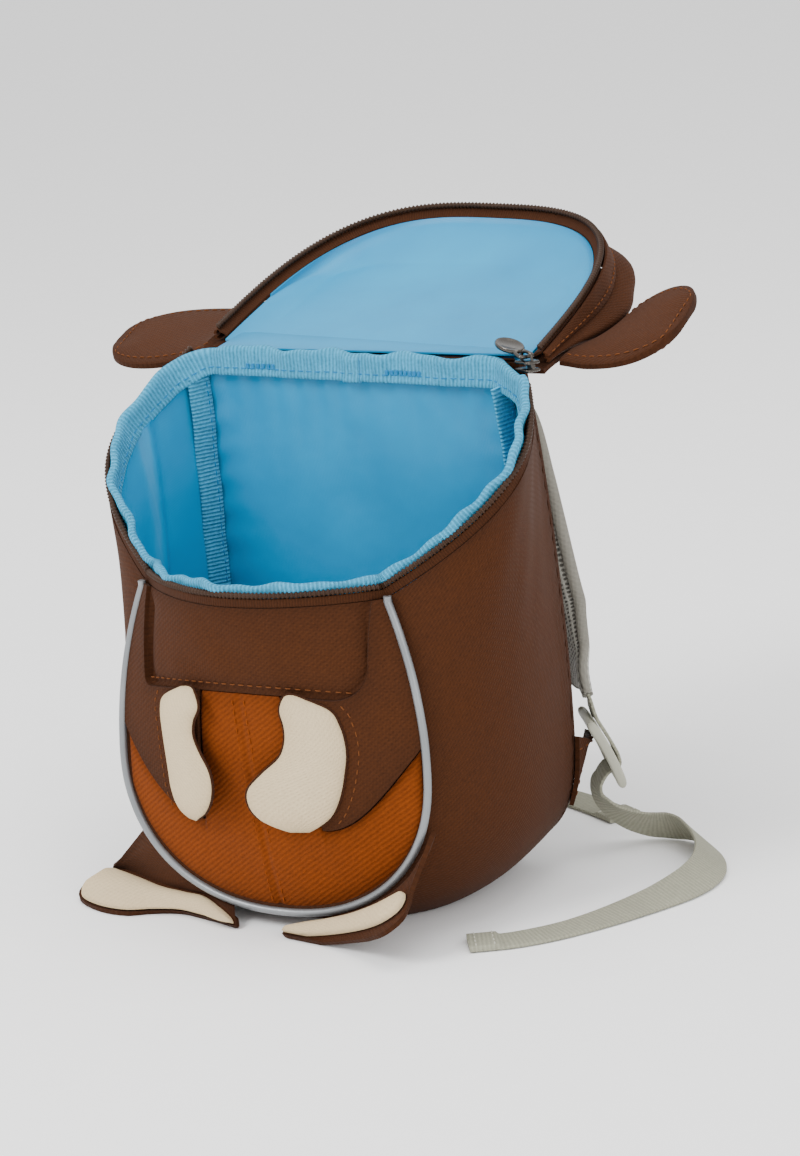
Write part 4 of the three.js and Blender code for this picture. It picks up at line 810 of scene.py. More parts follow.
def frontLine(x, z, lift=0.0):
    # A line on the front surface with its outward normals
    p = frontPoint(x, z)
    e = 0.5
    n = unit(np.cross(frontPoint(x + e, z) - frontPoint(x - e, z), frontPoint(x, z + e) - frontPoint(x, z - e)))
    return p + n * lift, n


line = np.linspace(-46, 46, 120)
stitches("chestStitches", [frontLine(line, seamHeight(line) + 3.2, 0.1)], brownThread)
drop = np.linspace(94, 12, 90)
stitches("bellyStitches", [frontLine(0 * drop - 2.6, drop, 0.75), frontLine(0 * drop + 2.6, drop, 0.75)],
         orangeThread, slot="orange_canvas")
stitches("armStitches", armLines, brownThread)
print("front made")

pipingLook = dict(radius=1.55, proud=1.9, wave=0.15, flange=1.7)


def makePiping(look):
    # A round cord along the front seam, with the fine puckers of its sewn flange
    w = np.linspace(-0.995, 0.995, 420)
    path = pipingPoint(w)
    out = seamShape(w, frontSeam)[2]
    proud = unit(out * 0.66 + [0, -0.75, 0])
    path = path + proud * look["proud"]
    rise = np.array([0, 0, 2.2])
    flange = pipingPoint(w) + [0, 0.6, 0]
    flange = evenly(np.vstack([flange[:1] + rise, flange, flange[-1:] + rise]), 300)
    side, up = squareTo(along(flange), np.broadcast_to([0, -1.0, 0], flange.shape))
    # The flange under the cord is in the darker brown canvas: painted shade under the cord
    sweep("pipingFlange", flange, side, up, circle(look["flange"], 10), shadedBrownCanvas, "brown_canvas")
    path = evenly(np.vstack([path[:1] + rise, path, path[-1:] + rise]), 420)
    path = path + look["wave"] * waves(np.linspace(0, 6, 420), 0, 31, 1, 3)[:, None] * [0, -1, 0]
    side, up = squareTo(along(path), np.broadcast_to([0, -1.0, 0], path.shape))
    return sweep("pipingCord", path, side, up, circle(look["radius"], 14), silverPiping, "reflective_piping",
                 stands="piping")


makePiping(pipingLook)


def makeLinings():
    # Front and gusset lining: thin cloth with broad creases
    u, v = grid(60, 50)
    z = lerp(frontSeam["bottom"] + 14, frontSeam["top"], v)
    half = frontHalfAt(z) - 6
    p = frontPoint(lerp(-half, half, u), z)
    wall("liningFront", p, -shape["liningOver"] + 0.5 * waves(u * 3, v * 3, 41, 0.5, 1.4), -shape["liningUnder"],
         liningSatin, "blue_lining", stands="lining_front")
    w, t = grid(160, 50, (-0.99, 0.99), (0.05, 0.965))
    p = gussetPoint(w, t)
    crease = 1.3 * waves(w * 5, t * 2, 43, 0.6, 1.8) * smooth(np.minimum(t - 0.03, 0.965 - t) * 8)
    fold = np.exp(-((t - 0.66 + 0.3 * (1 - np.abs(w))) / 0.035) ** 2) * smooth((np.abs(w) - 0.5) * 5)
    crease = crease + 2.4 * fold * (w < 0)
    wall("liningGusset", p, shape["liningOver"] + 0.2 + 0 * crease, shape["liningUnder"] + 0.4 + crease,
         liningSatin, "blue_lining", floor=(3.6, 4.6), stands="lining_gusset")


def backSurface(u, v, inset):
    # The back inside the back seam, from x to x at each height, leaning in at the top
    z = lerp(backSeam["bottom"] + inset, backSeam["top"] - inset / 2, v)
    drop = np.clip((backSeam["widest"] - z) / (backSeam["widest"] - backSeam["bottom"]), 0, 1)
    rise = np.clip((z - backSeam["widest"]) / (backSeam["top"] - backSeam["widest"]), 0, 1)
    power = backSeam["roundness"]
    full = backSeam["half"] * (1 - drop**power) ** (1 / power) - inset
    left = full - (backSeam["half"] - backSeam["topLeft"]) * rise ** backSeam["taper"]
    right = full - (backSeam["half"] - backSeam["topRight"]) * rise ** backSeam["taper"]
    return vector(lerp(-left, right, u), shape["backDepth"] - shape["backLean"] * rise**3, z)


makeLinings()
liningLook = dict(inset=5.5, creases=1.2, hollow=1.6, puckers=0.55, sidePuckers=15, topPuckers=13)


def makeBackLining(look):
    # Broad creases in the middle, and short puckers where the seams gather the cloth
    u, v = grid(115, 90)
    p = backSurface(u, v, look["inset"])
    middle = smooth(np.minimum.reduce([u, 1 - u, v, 1 - v]) * 7)
    diagonal = np.sin(6.283 * (1.1 * u + 1.6 * v) + 1.2 * waves(u * 2, v * 2, 47, 0.4, 1))
    crease = (look["creases"] * waves(u * 3, v * 3, 45, 0.4, 1.3) + 0.4 * diagonal) * middle
    drift = 1.5 * waves(u * 3, v * 3, 49, 0.5, 1.2)
    sides = np.sin(6.283 * look["sidePuckers"] * v + drift) * np.exp(-np.minimum(u, 1 - u) / 0.05)
    above = np.sin(6.283 * look["topPuckers"] * u + drift) * np.exp(-(1 - v) / 0.09)
    crease = crease + look["puckers"] * (sides + above)
    wall("liningBack", p, 2.6 + look["hollow"] * (1 - middle) * 0.3 + crease, 1.2, liningSatin, "blue_lining",
         stands="lining_back")


makeBackLining(liningLook)

backLook = dict(padding=6.5, channel=2.2, channels=(0.3, 0.5, 0.7))


def makeBackPanel(look):
    # Padded outside, with three sewn channels up the back and a flat edge where it meets the seam
    u, v = grid(120, 110)
    p = backSurface(u, v, 0)
    edge = np.minimum.reduce([1 + 0 * u, 6 * np.minimum(u, 1 - u), 7 * np.minimum(v, 1 - v)])
    puff = np.sqrt(np.clip(1 - (1 - edge) ** 2, 0, 1)) * look["padding"]
    ends = smooth((0.9 - v) * 12) * smooth((v - 0.08) * 12)
    for place in look["channels"]:
        puff = puff - look["channel"] * np.exp(-((u - place) / 0.018) ** 2) * ends
    puff = puff + 0.35 * waves(u * 4, v * 4, 51, 0.6, 2) * edge
    under = -(shape["wall"] + puff)
    piece = wall("backPadding", p, -0.1, under, brownCanvas, "brown_canvas", stands="back_panel")
    n = gridNormals(p)
    lines = []
    for place in look["channels"]:
        column = int(place * 120)
        lines.append(((p + n * under[..., None])[11:99, column], -n[11:99, column]))
    stitches("backStitches", lines, brownThread)


makeBackPanel(backLook)
print("back and linings made")

# Mouth: zip, bindings

zipLook = dict(start=0.86, tapeLift=0.6, tapeHeight=4.2, tapeThick=1.0, coil=1.3, pitch=1.7)
bindingLook = dict(height=11.5, thick=2.6, drop=3, inset=4.6, lean=1.6, gather=0.85, folds=15, tipped=0.5,
                   sewn=0.28, lap=(-6, 2.5), bars=((-50, -38), (14, 29)))


def rimPath(start=1.0):
    # The rim from the right back corner over the front to the left back corner
    t = np.linspace(start, 0, 90)
    right = gussetPoint(np.full(90, 1.0), t)
    x = np.linspace(frontSeam["topLeft"], -frontSeam["topLeft"], 90)
    front = frontPoint(x, np.full(90, float(frontSeam["top"])))
    left = gussetPoint(np.full(90, -1.0), np.linspace(0, 1, 90))
    return np.vstack([right, front[1:-1], left])


def rimFrames(path, closed=False, width=9):
    way = along(path, closed)
    out = np.stack([-way[:, 1], way[:, 0], 0 * way[:, 0]], 1)
    out = unit(softened(unit(out), width, closed))
    out, up = squareTo(way, out)
    return out, np.where(up[:, 2:] < 0, -up, up)


def coilTube(name, path, out, up, look, a, b, finish, stands):
    # A nylon coil: a tube whose radius swells once per tooth
    total = np.linalg.norm(np.diff(path, axis=0), axis=1).sum()
    count = int(total / look["pitch"]) * 8
    frameRows = evenly(np.hstack([path, out, up]), count)
    path, out, up = frameRows[:, :3], unit(frameRows[:, 3:6]), unit(frameRows[:, 6:])
    tooth = 0.62 + 0.46 * np.sin(np.arange(count) * np.pi / 8) ** 2
    section = circle(look["coil"], 7)[None] * tooth[:, None, None]
    return sweep(name, path + out * a + up * b, out, up, section, finish, "zip", stands=stands)


def makeBodyZip(look):
    path = softened(evenly(rimPath(look["start"]), 400), 3)
    out, up = rimFrames(path)
    middle = look["tapeLift"] + look["tapeHeight"] / 2
    wave = 0.15 * waves(np.linspace(0, 9, 400), 0, 61, 0.8, 2)
    shift = np.stack([-0.7 + wave, 0 * wave + middle + 0.3], 1)
    section = softRectangle(look["tapeThick"], look["tapeHeight"] - 0.8, 16, 6)[None] + shift[:, None]
    sweep("bodyZipTape", path - up * 1.2, out, up, section, brownTape, "zip", stands="body_zip_tape")
    rise = look["tapeLift"] + look["tapeHeight"] + 0.3 + look["coil"]
    coilTube("bodyZipCoil", path, out, up, look, -0.6, rise - 1.7, zipNylon, "body_zip_coil")


makeBodyZip(zipLook)


def bindingPath(look, count=720):
    # Round the inside of the rim, then along the top of the back lining
    rim = evenly(rimPath(), 300)
    out, _ = rimFrames(rim, width=14)
    inside = rim - out * look["inset"]
    cut = 14
    inside = inside[cut:-cut]
    x = np.linspace(-69, 62.8, 40)
    back = vector(x, 40.5, 203 - lerp(3.5, 6, np.linspace(0, 1, 40)))
    loop = np.vstack([inside, back])
    loop = evenly(loop, count, True)
    return softened(loop, 9, True)


def makeRimBinding(look):
    # A ribbed tape folded over the seam, gathered in waves that lean and rise a little
    path = bindingPath(look)
    n = len(path)
    way = along(path, True)
    out = unit(softened(np.stack([-way[:, 1], way[:, 0], 0 * way[:, 0]], 1), 18, True))
    out, up = squareTo(way, out)
    up = np.where(up[:, 2:] < 0, -up, up)
    place = np.arange(n) / n * 2 * np.pi
    wave = look["gather"] * (np.sin(place * look["folds"]) + 0.45 * np.sin(place * look["folds"] * 2.3 + 1))
    lifted = 0.7 * np.sin(place * look["folds"] * 0.9 + 2) + 0.4 * np.sin(place * 31)
    section = softRectangle(look["thick"], look["height"], 26, 4)
    middle = look["height"] / 2 - look["drop"]
    share = (section[:, 1] + look["height"] / 2) / look["height"]
    offset = look["lean"] * share[None] + wave[:, None] * (0.35 + share[None])
    frontness = smooth(-path[:, 1:2] / 25)
    offset = offset + frontness * share[None] * look["tipped"]
    # Pulled in where its lower stitching holds it, and rolled at its upper edge
    thickness = 1 - 0.4 * np.exp(-((share - look["sewn"]) / 0.1) ** 2) + 0.35 * smooth((share - 0.6) * 4)
    section = np.stack([section[:, 0] * thickness + offset,
                        section[:, 1] + middle + lifted[:, None] * share], -1)
    sweep("rimBinding", path, out, up, section, blueBinding, "pale_binding", closed=True, stands="rim_binding")
    low = path + up * (middle - look["height"] / 2 + look["sewn"] * look["height"])
    shift = (look["lean"] * look["sewn"] + wave * 0.63)[:, None] + frontness * look["sewn"] * look["tipped"]
    inner = low + out * (shift - look["thick"] / 2 + 0.35)
    stitches("rimStitches", [(inner, -out)], blueThread, slot="pale_binding", length=2.6, gap=1.2)
    # The tape's end laps over its start, and two dense bars of stitches hold the lid's hinge
    behind = path[:, 1] > 38
    lap = behind & (path[:, 0] > look["lap"][0]) & (path[:, 0] < look["lap"][1])
    sweep("rimBindingLap", path[lap], out[lap], up[lap], section[lap] * [1.3, 1] + [-0.25, -0.45], blueBinding,
          "pale_binding")
    bars = []
    for start, end in look["bars"]:
        bar = behind & (path[:, 0] > start) & (path[:, 0] < end)
        bars += [(inner[bar] + up[bar] * rise - out[bar] * 0.15, -out[bar]) for rise in (0.3, 0.8, 1.3, 1.8)]
    stitches("bartacks", bars, blueThread, slot="pale_binding", length=1.6, gap=0.1, radius=0.32)


makeRimBinding(bindingLook)


def makeSeamBinding(side, name, stands, look):
    # The bound seam down an inner back corner: a folded ribbed tape with a slight wave
    w = side * np.linspace(0.99, 0.5, 140)
    p = backSeamPoint(w) + [-side * look["inwards"], -look["forwards"], -4.5]
    fold = unit(np.array([side * look["lean"], -1.0, 0.0]))
    wave = 0.8 * waves(np.linspace(0, 5, 140), 0, 71 + side, 0.8, 1.6)
    p = p + np.stack([wave * side, 0 * wave, 0 * wave], 1)
    out, up = squareTo(along(p), np.broadcast_to(fold, p.shape))
    section = softRectangle(10, 1.9, 22, 4)
    sweep(name, p, out, up, section, blueBinding, "pale_binding", stands=stands)
    stitches(name + "Stitches", [(p - out * 3 + up * s * 0.9, up * s) for s in (1, -1)], blueThread,
             slot="pale_binding")


makeSeamBinding(-1, "seamBindingLeft", "seam_binding_left", dict(inwards=4.4, forwards=7.7, lean=0.55))
makeSeamBinding(1, "seamBindingRight", "seam_binding_right", dict(inwards=6.4, forwards=8.6, lean=-0.3))
print("mouth made")

# Hands and feet

rightHand = dict(side=1, lift=17, rows=[(0.66, 0.22), (0.9, 0.49), (0.97, 0.53), (1.0, 0.57), (1.0, 0.64),
                                        (0.97, 0.79), (0.93, 0.9), (0.87, 0.86), (0.78, 0.7), (0.62, 0.34)])
leftHand = dict(side=-1, lift=24, rows=[(0.7, 0.36), (0.92, 0.62), (0.97, 0.56), (0.97, 0.52), (0.97, 0.6),
                                        (0.97, 0.72), (0.97, 0.74), (0.97, 0.68), (0.94, 0.52), (0.86, 0.24)])
handLook = dict(top=99, bottom=43, reach=41, thick=1.7, standoff=0.5)


def handGrid(hand, across=34, up=60):
    # A mitten that hangs from its outer edge and lifts towards its inner one, with round ends
    u, v = grid(across, up)
    side, angle = hand["side"], math.radians(hand["lift"])
    z = lerp(handLook["top"], handLook["bottom"], v)
    table = rowsAt(hand["rows"], v)
    outer, width = table[..., 0] * handLook["reach"], table[..., 1] * handLook["reach"]
    ends = np.sqrt(np.clip(1 - np.abs(2 * v - 1) ** 9, 0, 1))
    outer = outer - width * (1 - ends) * 0.5
    width = np.maximum(width * ends, 0.3) * u
    edge = frontPoint(side * outer, z)
    forward = handLook["standoff"] + handLook["thick"] + width * math.sin(angle)
    curl = 0.8 * np.sin(np.pi * u) * np.sin(np.pi * v)
    return vector(edge[..., 0] - side * width * math.cos(angle), edge[..., 1] - forward - curl, z), u, v


def makeHand(hand, name, front, back):
    p, u, v = handGrid(hand)
    side = hand["side"]
    rim = np.minimum.reduce([u, 1 - u, v, 1 - v])
    puff = np.sqrt(np.clip(1 - (1 - np.minimum(rim * 5, 1)) ** 2, 0, 1))
    cream = wall(name + "Palm", p, side * (0.25 + 1.9 * puff), side * 0.05, creamCanvas, "cream_canvas",
                 stands=front)
    cloth = wall(name + "Back", p, side * -0.05, side * -(0.35 + 1.3 * puff), brownCanvas, "brown_canvas",
                 stands=back)
    size = p.shape[0] * p.shape[1]
    fixed = np.tile((rim.ravel() < 0.06), 2)
    fixed[size:] = True
    inflate(cream, 60, 1.6, fixed)
    # A brown edging cord shows round the face, in the darker brown canvas: its darker colour is painted shade
    # along the hand's edge
    border = np.concatenate([p[0], p[1:, -1], p[-1, -2::-1], p[-2:0:-1, 0]])
    path = softened(evenly(border, 260, True), 3, True)
    out, up = squareTo(along(path, True), np.broadcast_to([0, -1.0, 0], path.shape))
    sweep(name + "Edging", path, out, up, circle(0.6, 8), shadedBrownCanvas, "brown_canvas", closed=True)
    z = np.linspace(handLook["top"] - 6, handLook["bottom"] + 5, 70)
    share = (handLook["top"] - z) / (handLook["top"] - handLook["bottom"])
    outer = rowsAt(hand["rows"], share)[:, 0] * handLook["reach"] + 3.6
    lineAt, lineOut = frontLine(side * outer, z, 1.75)
    stitches(name + "Stitches", [(lineAt, lineOut)], brownThread, length=2.1)


makeHand(rightHand, "handRight", "hand_right", "hand_back_right")
makeHand(leftHand, "handLeft", "hand_left", "hand_back_left")

leftFoot = dict(side=-1, root=(0.1, 0.37), gap=1.5, sole=(0.1, 0.96), rows=[
    (-14.5, -56.5, 0.4, -17, -53.5, 4.5), (-25, -53, 0.3, -25, -50, 7), (-36, -50, 0.3, -36, -43.5, 8),
    (-47, -48, 0.3, -46, -41.5, 8), (-58, -51, 0.3, -58, -39.5, 8), (-67, -55.5, 0.3, -70, -34, 8),
    (-79, -55, 0.3, -80, -29.5, 8), (-91, -50, 0.5, -87, -27, 8), (-98, -43, 3, -90, -27, 8),
    (-96, -35, 7.5, -92, -27.5, 8)])
rightFoot = dict(side=1, root=(0.12, 0.44), gap=2.6, sole=(0.1, 0.74), rows=[
    (5, -58, 0.2, 7, -55, 3.5), (18, -60, 0.4, 16, -53.5, 6), (30, -62, 2.5, 27, -53, 8.5),
    (42, -66, 6, 38, -54, 12), (53, -71, 10, 49, -55, 17), (62, -75, 14.5, 58, -57, 22),
    (68, -73, 19, 64, -59, 25.5), (70, -68, 22.5, 67, -61, 27)])
footLook = dict(thick=1.8, gap=0.8, padding=2.4, bend=0.4)


def footPoint(foot, t, k):
    # Across the sole, k = 0 where the leg meets it, k = 1 at its free edge, t from the toe to the heel
    cut = 0.05 * np.clip(k, 0, 1) ** 4
    table = rowsAt(foot["rows"], lerp(cut, 1 - cut, t))
    return lerp(table[..., 3:], table[..., :3], k[..., None])


def legGrid(foot, u, v):
    side, bend = foot["side"], footLook["bend"]
    w = side * lerp(*foot["root"], u)
    root = pipingPoint(w) + seamShape(w, frontSeam)[2] * (1.5 + foot["gap"]) + [0, 0.4, 0]
    root[..., 2] = np.maximum(root[..., 2], footLook["thick"] + 0.4)
    meet = footPoint(foot, u, 0 * u)
    leg = lerp(root, meet, smooth(v / bend)[..., None] * 0.35 + np.clip(v / bend, 0, 1)[..., None] * 0.65)
    return np.where((v < bend)[..., None], leg, footPoint(foot, u, np.clip((v - bend) / (1 - bend), 0, 1)))


def makeFoot(foot, name, leg, sole):
    side = foot["side"]
    u, v = grid(90, 60)
    p = legGrid(foot, u, v)
    rim = np.minimum.reduce([u * 2, 2 - u * 2, v * 2, 2 - v * 2])
    wrinkle = 0.5 * waves(u * 4, v * 3, 81, 0.6, 1.6) * smooth(rim * 4) * (v < footLook["bend"])
    wall(name + "Leg", p, side * wrinkle, side * footLook["thick"], brownCanvas, "brown_canvas",
         floor=(footLook["thick"], 0), stands=leg)
    u, v = grid(90, 30)
    ends = np.sqrt(np.clip(1 - np.abs(2 * u - 1) ** 12, 0.02, 1))
    low, high = foot["sole"]
    t, k = lerp(0.012, 0.94, u), (low + high) / 2 + (v - 0.5) * (high - low) * ends
    p = footPoint(foot, t, k)
    rim = np.minimum.reduce([u * 12, 12 - u * 12, v * 3, 3 - v * 3])
    puff = np.sqrt(np.clip(1 - (1 - np.clip(rim, 0, 1)) ** 2, 0, 1))
    pad = wall(name + "Sole", p, -side * (footLook["gap"] + 0.5 + footLook["padding"] * puff),
               -side * footLook["gap"], creamCanvas, "cream_canvas",
               floor=(footLook["thick"] + 1.6, footLook["thick"] + 0.8), stands=sole)
    size = p.shape[0] * p.shape[1]
    fixed = np.tile(rim.ravel() < 0.15, 2)
    fixed[size:] = True
    inflate(pad, 60, 1.2, fixed)


makeFoot(leftFoot, "footLeft", "leg_left", "foot_sole_left")
makeFoot(rightFoot, "footRight", "leg_right", "foot_sole_right")
print("hands and feet made")

# Lid, in its own frame: X across, Y away from the hinge, Z out of the lining

lidLook = dict(half=77.5, length=108, roundness=3, place=(-2, 54, 208.5), open=21, twist=3.9, band=10,
               gusset=12, bulge=6, flat=0.16, rise=70, dish=9, sag=4)
hingeLook = dict(half=67.5, y=46.7, low=204.6, coverLow=205.4, coverReach=9)


def lidToBag(p):
    # Turned about Z, tipped about X, then moved to the hinge
    c, s = math.cos(math.radians(-lidLook["twist"])), math.sin(math.radians(-lidLook["twist"]))
    p = np.stack([p[..., 0] * c - p[..., 1] * s, p[..., 0] * s + p[..., 1] * c, p[..., 2]], -1)
    c, s = math.cos(math.radians(lidLook["open"])), math.sin(math.radians(lidLook["open"]))
    p = np.stack([p[..., 0], p[..., 1] * c - p[..., 2] * s, p[..., 1] * s + p[..., 2] * c], -1)
    return p + lidLook["place"]


def lidDepth(y):
    return lerp(lidLook["flat"], 1, smooth(y / lidLook["rise"]))


def lidSeamZ(y):
    return -3 - (lidLook["band"] + lidLook["gusset"]) * lidDepth(y)


def lidPath(count=520):
    # Superellipse from the right hinge corner round to the left one
    angle = np.pi * lerp(0.003, 0.997, np.linspace(0, 1, 6000))
    c, s = np.cos(angle), np.maximum(np.sin(angle), 0)
    power = 2 / lidLook["roundness"]
    outline = vector(lidLook["half"] * np.sign(c) * np.abs(c) ** power, lidLook["length"] * s**power, 0)
    path = evenly(outline, count)
    way = along(path)
    out = unit(softened(np.stack([way[:, 1], -way[:, 0], 0 * way[:, 0]], 1), 6))
    return path, out


def lidSweep(name, section, finish, slot, stands, count=520):
    path, out = lidPath(count)
    k = lidDepth(path[:, 1])
    outline = section(k[:, None], np.linspace(0, 1, count)[:, None])
    flat = path[:, None] + out[:, None] * outline[..., :1]
    flat[..., 2] = outline[..., 1]
    points = lidToBag(flat)
    n, sides = points.shape[:2]
    steps = np.concatenate([[0], np.cumsum(np.linalg.norm(np.diff(path, axis=0), axis=1))])
    ring = np.vstack([outline[n // 2], outline[n // 2][:1]])
    around = np.concatenate([[0], np.cumsum(np.linalg.norm(np.diff(ring, axis=0), axis=1))])
    uv = np.stack(np.meshgrid(steps, around, indexing="ij"), -1) / 1000
    caps = [np.arange(sides)[::-1], np.arange(sides) + (n - 1) * sides]
    return addPiece(name, points.reshape(-1, 3), gridFaces(n, sides, False, True),
                    uv.reshape(-1, 2)[gridFaces(*uv.shape[:2])], finish, slot, stands=stands, caps=caps)


def pairs(*columns):
    # Stacks (out, up) pairs whose parts are arrays over the path
    shapes = [np.broadcast_arrays(*pair) for pair in columns]
    return np.stack([np.concatenate([a for a, _ in shapes], 1), np.concatenate([b for _, b in shapes], 1)], -1)


def bandSection(k, s):
    # A narrow band under the zip, with a soft roll at its lower edge
    low = -3 - lidLook["band"] * k
    wave = 0.35 * waves(s * 22, 0 * s, 91, 0.6, 1.6)
    return pairs((0.2 + 0 * k, -3 + 0 * k), (1.2 + 0 * k, -2.9 + 0 * k), (1.9 + wave, -3 - 3 * k),
                 (2.6 + wave, lerp(-3, low, 0.75)), (2.4 + 0 * k, low), (0.8 + 0 * k, low),
                 (0.9 + 0 * k, lerp(-3, low, 0.5)))


def gussetSection(k, s):
    # The wide band swells out between its two seams
    top = -3 - lidLook["band"] * k - 0.5
    low = top - lidLook["gusset"] * k
    swell = lidLook["bulge"] * k
    wave = 0.8 * waves(s * 14, 0 * s, 93, 0.5, 1.4) * k
    outer = [(1.6 + swell * math.sin(math.pi * a) * 1.02 + wave * math.sin(math.pi * a) + 4.2 * k * a * 0.55,
              lerp(top, low, a)) for a in np.linspace(0, 1, 11)]
    inner = [(a - 1.6, b) for a, b in outer[::-1]]
    return pairs(*[(a + 0 * k, b + 0 * k) for a, b in outer + inner])


lidSweep("lidBand", bandSection, brownCanvas, "brown_canvas", "lid_band")
lidSweep("lidGusset", gussetSection, brownCanvas, "brown_canvas", "lid_gusset")


def lidTapeSection(k, s):
    return pairs((-0.5 + 0 * k, -2.3 + 0 * k), (-2.4 + 0 * k, -3.2 + 0 * k), (-4.6 + 0 * k, -4.4 + 0 * k),
                 (-4.7 + 0 * k, -5.4 + 0 * k), (-2.6 + 0 * k, -4.5 + 0 * k), (-0.7 + 0 * k, -3.5 + 0 * k))


lidSweep("lidZipTape", lidTapeSection, brownTape, "zip", "lid_zip_tape")


def makeLidCoil():
    path, out = lidPath()
    flat = path + out * -1.0
    flat[:, 2] = -1.0
    origin = lidToBag(np.zeros((1, 3)))[0]
    turned = lidToBag(out) - origin
    up = lidToBag(np.broadcast_to([0, 0, 1.0], path.shape)) - origin
    coilTube("lidZipCoil", lidToBag(flat), turned, up, zipLook, 0, 0, zipNylon, "lid_zip_coil")


makeLidCoil()


def lidSheet(grow, hinge, across=90, up=70):
    # A D-shaped grid in columns from the hinge to the far edge, and the share of the way in from its border
    u, v = grid(across, up)
    half = (lidLook["half"] + grow) * 0.985
    x = lerp(-half, half, 0.5 - 0.5 * np.cos(np.pi * u))
    share = np.clip(np.abs(x) / (lidLook["half"] + grow), 0, 1)
    far = (lidLook["length"] + grow) * (1 - share ** lidLook["roundness"]) ** (1 / lidLook["roundness"])
    y = lerp(hinge, far, v)
    return x, y, np.clip(np.minimum(5 * (1 - share), 4 * (1 - v)), 0, 1)


def makeLidCloth():
    x, y, edge = lidSheet(-4.9, 1)
    z = -4.6 - lidLook["dish"] * np.sqrt(edge) * lidDepth(y) * 0.75
    z = z + 0.7 * waves(x / 50, y / 50, 95, 0.4, 1.3) * smooth(edge * 1.5)
    uv = np.stack([x, y], -1) / 1000
    wall("lidLining", lidToBag(vector(x, y, z)), 0.5, -0.5, liningSatin, "blue_lining", uv=uv, stands="lid_lining")
    x, y, edge = lidSheet(lidLook["bulge"] * 0.45, 0.5)
    z = lidSeamZ(y) - 1.6 - lidLook["sag"] * smooth(edge) * lidDepth(y)
    z = z - 0.9 * waves(x / 50, y / 50, 97, 0.4, 1.2) * smooth(edge) * lidDepth(y)
    uv = np.stack([x, y], -1) / 1000
    wall("lidFace", lidToBag(vector(x, y, z)), 0, -shape["wall"], brownCanvas, "brown_canvas", uv=uv,
         stands="lid_face")
    u, v = grid(90, 16)
    x = lerp(-hingeLook["half"], hingeLook["half"], u)
    low = vector(x, hingeLook["y"], hingeLook["low"])
    high = lidToBag(vector(x, 0.4, -5.4))
    p = lerp(low, high, v[..., None])
    p[..., 1] += 0.5 * np.sin(np.pi * v) * waves(u * 12, v, 99, 0.5, 1.5)
    wall("lidHinge", p, 0.1, -0.7, brownCanvas, "brown_canvas", stands="lid_hinge")
    # The lining runs on over the hinge to the binding
    low = vector(x, hingeLook["y"], hingeLook["coverLow"])
    p = lerp(low, lidToBag(vector(x, hingeLook["coverReach"], -6.3)), v[..., None])
    wall("hingeCover", p, 0.9, 0.2, liningSatin, "blue_lining")


makeLidCloth()


def lidLine(out, z):
    # A line round the side of the lid at a distance out of its outline
    path, normal = lidPath(300)
    k = lidDepth(path[:, 1])
    keep = (path[:, 1] > 8)
    flat = path + normal * out
    flat[:, 2] = z(k)
    origin = lidToBag(np.zeros((1, 3)))[0]
    return lidToBag(flat)[keep], (lidToBag(normal) - origin)[keep]


stitches("lidStitches", [lidLine(2.55, lambda k: -3 - 6.6 * k)], brownThread)

leftEar = dict(side=-1, flap=(90, 25, -20), reach=50, rise=4, turn=-16, roll=8)
rightEar = dict(side=1, flap=(88, 34, -11), reach=36, rise=6, turn=6, roll=0)
earLook = dict(width=62, thick=5)


def makeEar(ear, name, stands):
    # A padded flap out of the seam under the lid's side, with a thick sewn edge
    u, v = grid(60, 66)
    angle, slope = math.radians(ear["turn"]), math.tan(math.radians(ear["roll"]))
    fx, fy, fz = ear["flap"]
    tip = np.sqrt(np.clip(1 - np.clip((u - 0.4) / 0.6, 0, 1) ** 2.5, 0.0004, 1))
    half = lerp(0.43, 0.5, smooth(u / 0.35)) * tip
    out = ear["reach"] * u
    across = earLook["width"] * lerp(-half, half, v)
    flap = vector(fx + out * math.cos(angle) - across * math.sin(angle),
                  fy + out * math.sin(angle) + across * math.cos(angle), fz + ear["rise"] * u - slope * across)
    y = fy + earLook["width"] * lerp(-0.42, 0.44, v)
    k = lidDepth(y)
    sideX = lidLook["half"] * (1 - np.clip(y / lidLook["length"], 0, 1) ** 3) ** (1 / 3)
    seam = vector(sideX + 4.2 * k + 3.4, y, lidSeamZ(y) - 2.2)
    p = lerp(seam, flap, (1 - (1 - u) ** 2)[..., None])
    p[..., 0] *= ear["side"]
    rim = np.minimum.reduce([4 * v, 4 - 4 * v, 4 - 4 * u])
    puff = earLook["thick"] * (0.2 + 0.3 * np.sqrt(np.clip(1 - (1 - np.clip(rim, 0, 1)) ** 2, 0, 1)))
    q = lidToBag(p)
    n = gridNormals(q)
    piece = wall(name, q, puff, -puff, brownCanvas, "brown_canvas", stands=stands)
    fixed = np.tile((rim.ravel() < 0.12) | (u.ravel() < 0.05), 2)
    inflate(piece, 40, 2.0, fixed)
    lines = []
    for s in (1, -1):
        face = q + n * (puff * s)[..., None]
        line = np.concatenate([face[5, 6:55], face[6:60, 55], face[-6, 54:5:-1]])
        normal = np.concatenate([n[5, 6:55], n[6:60, 55], n[-6, 54:5:-1]]) * s
        lines.append((line, normal))
    stitches(name + "Stitches", lines, brownThread)


makeEar(leftEar, "earLeft", "ear_left")
makeEar(rightEar, "earRight", "ear_right")
print("lid and ears made")

# Straps

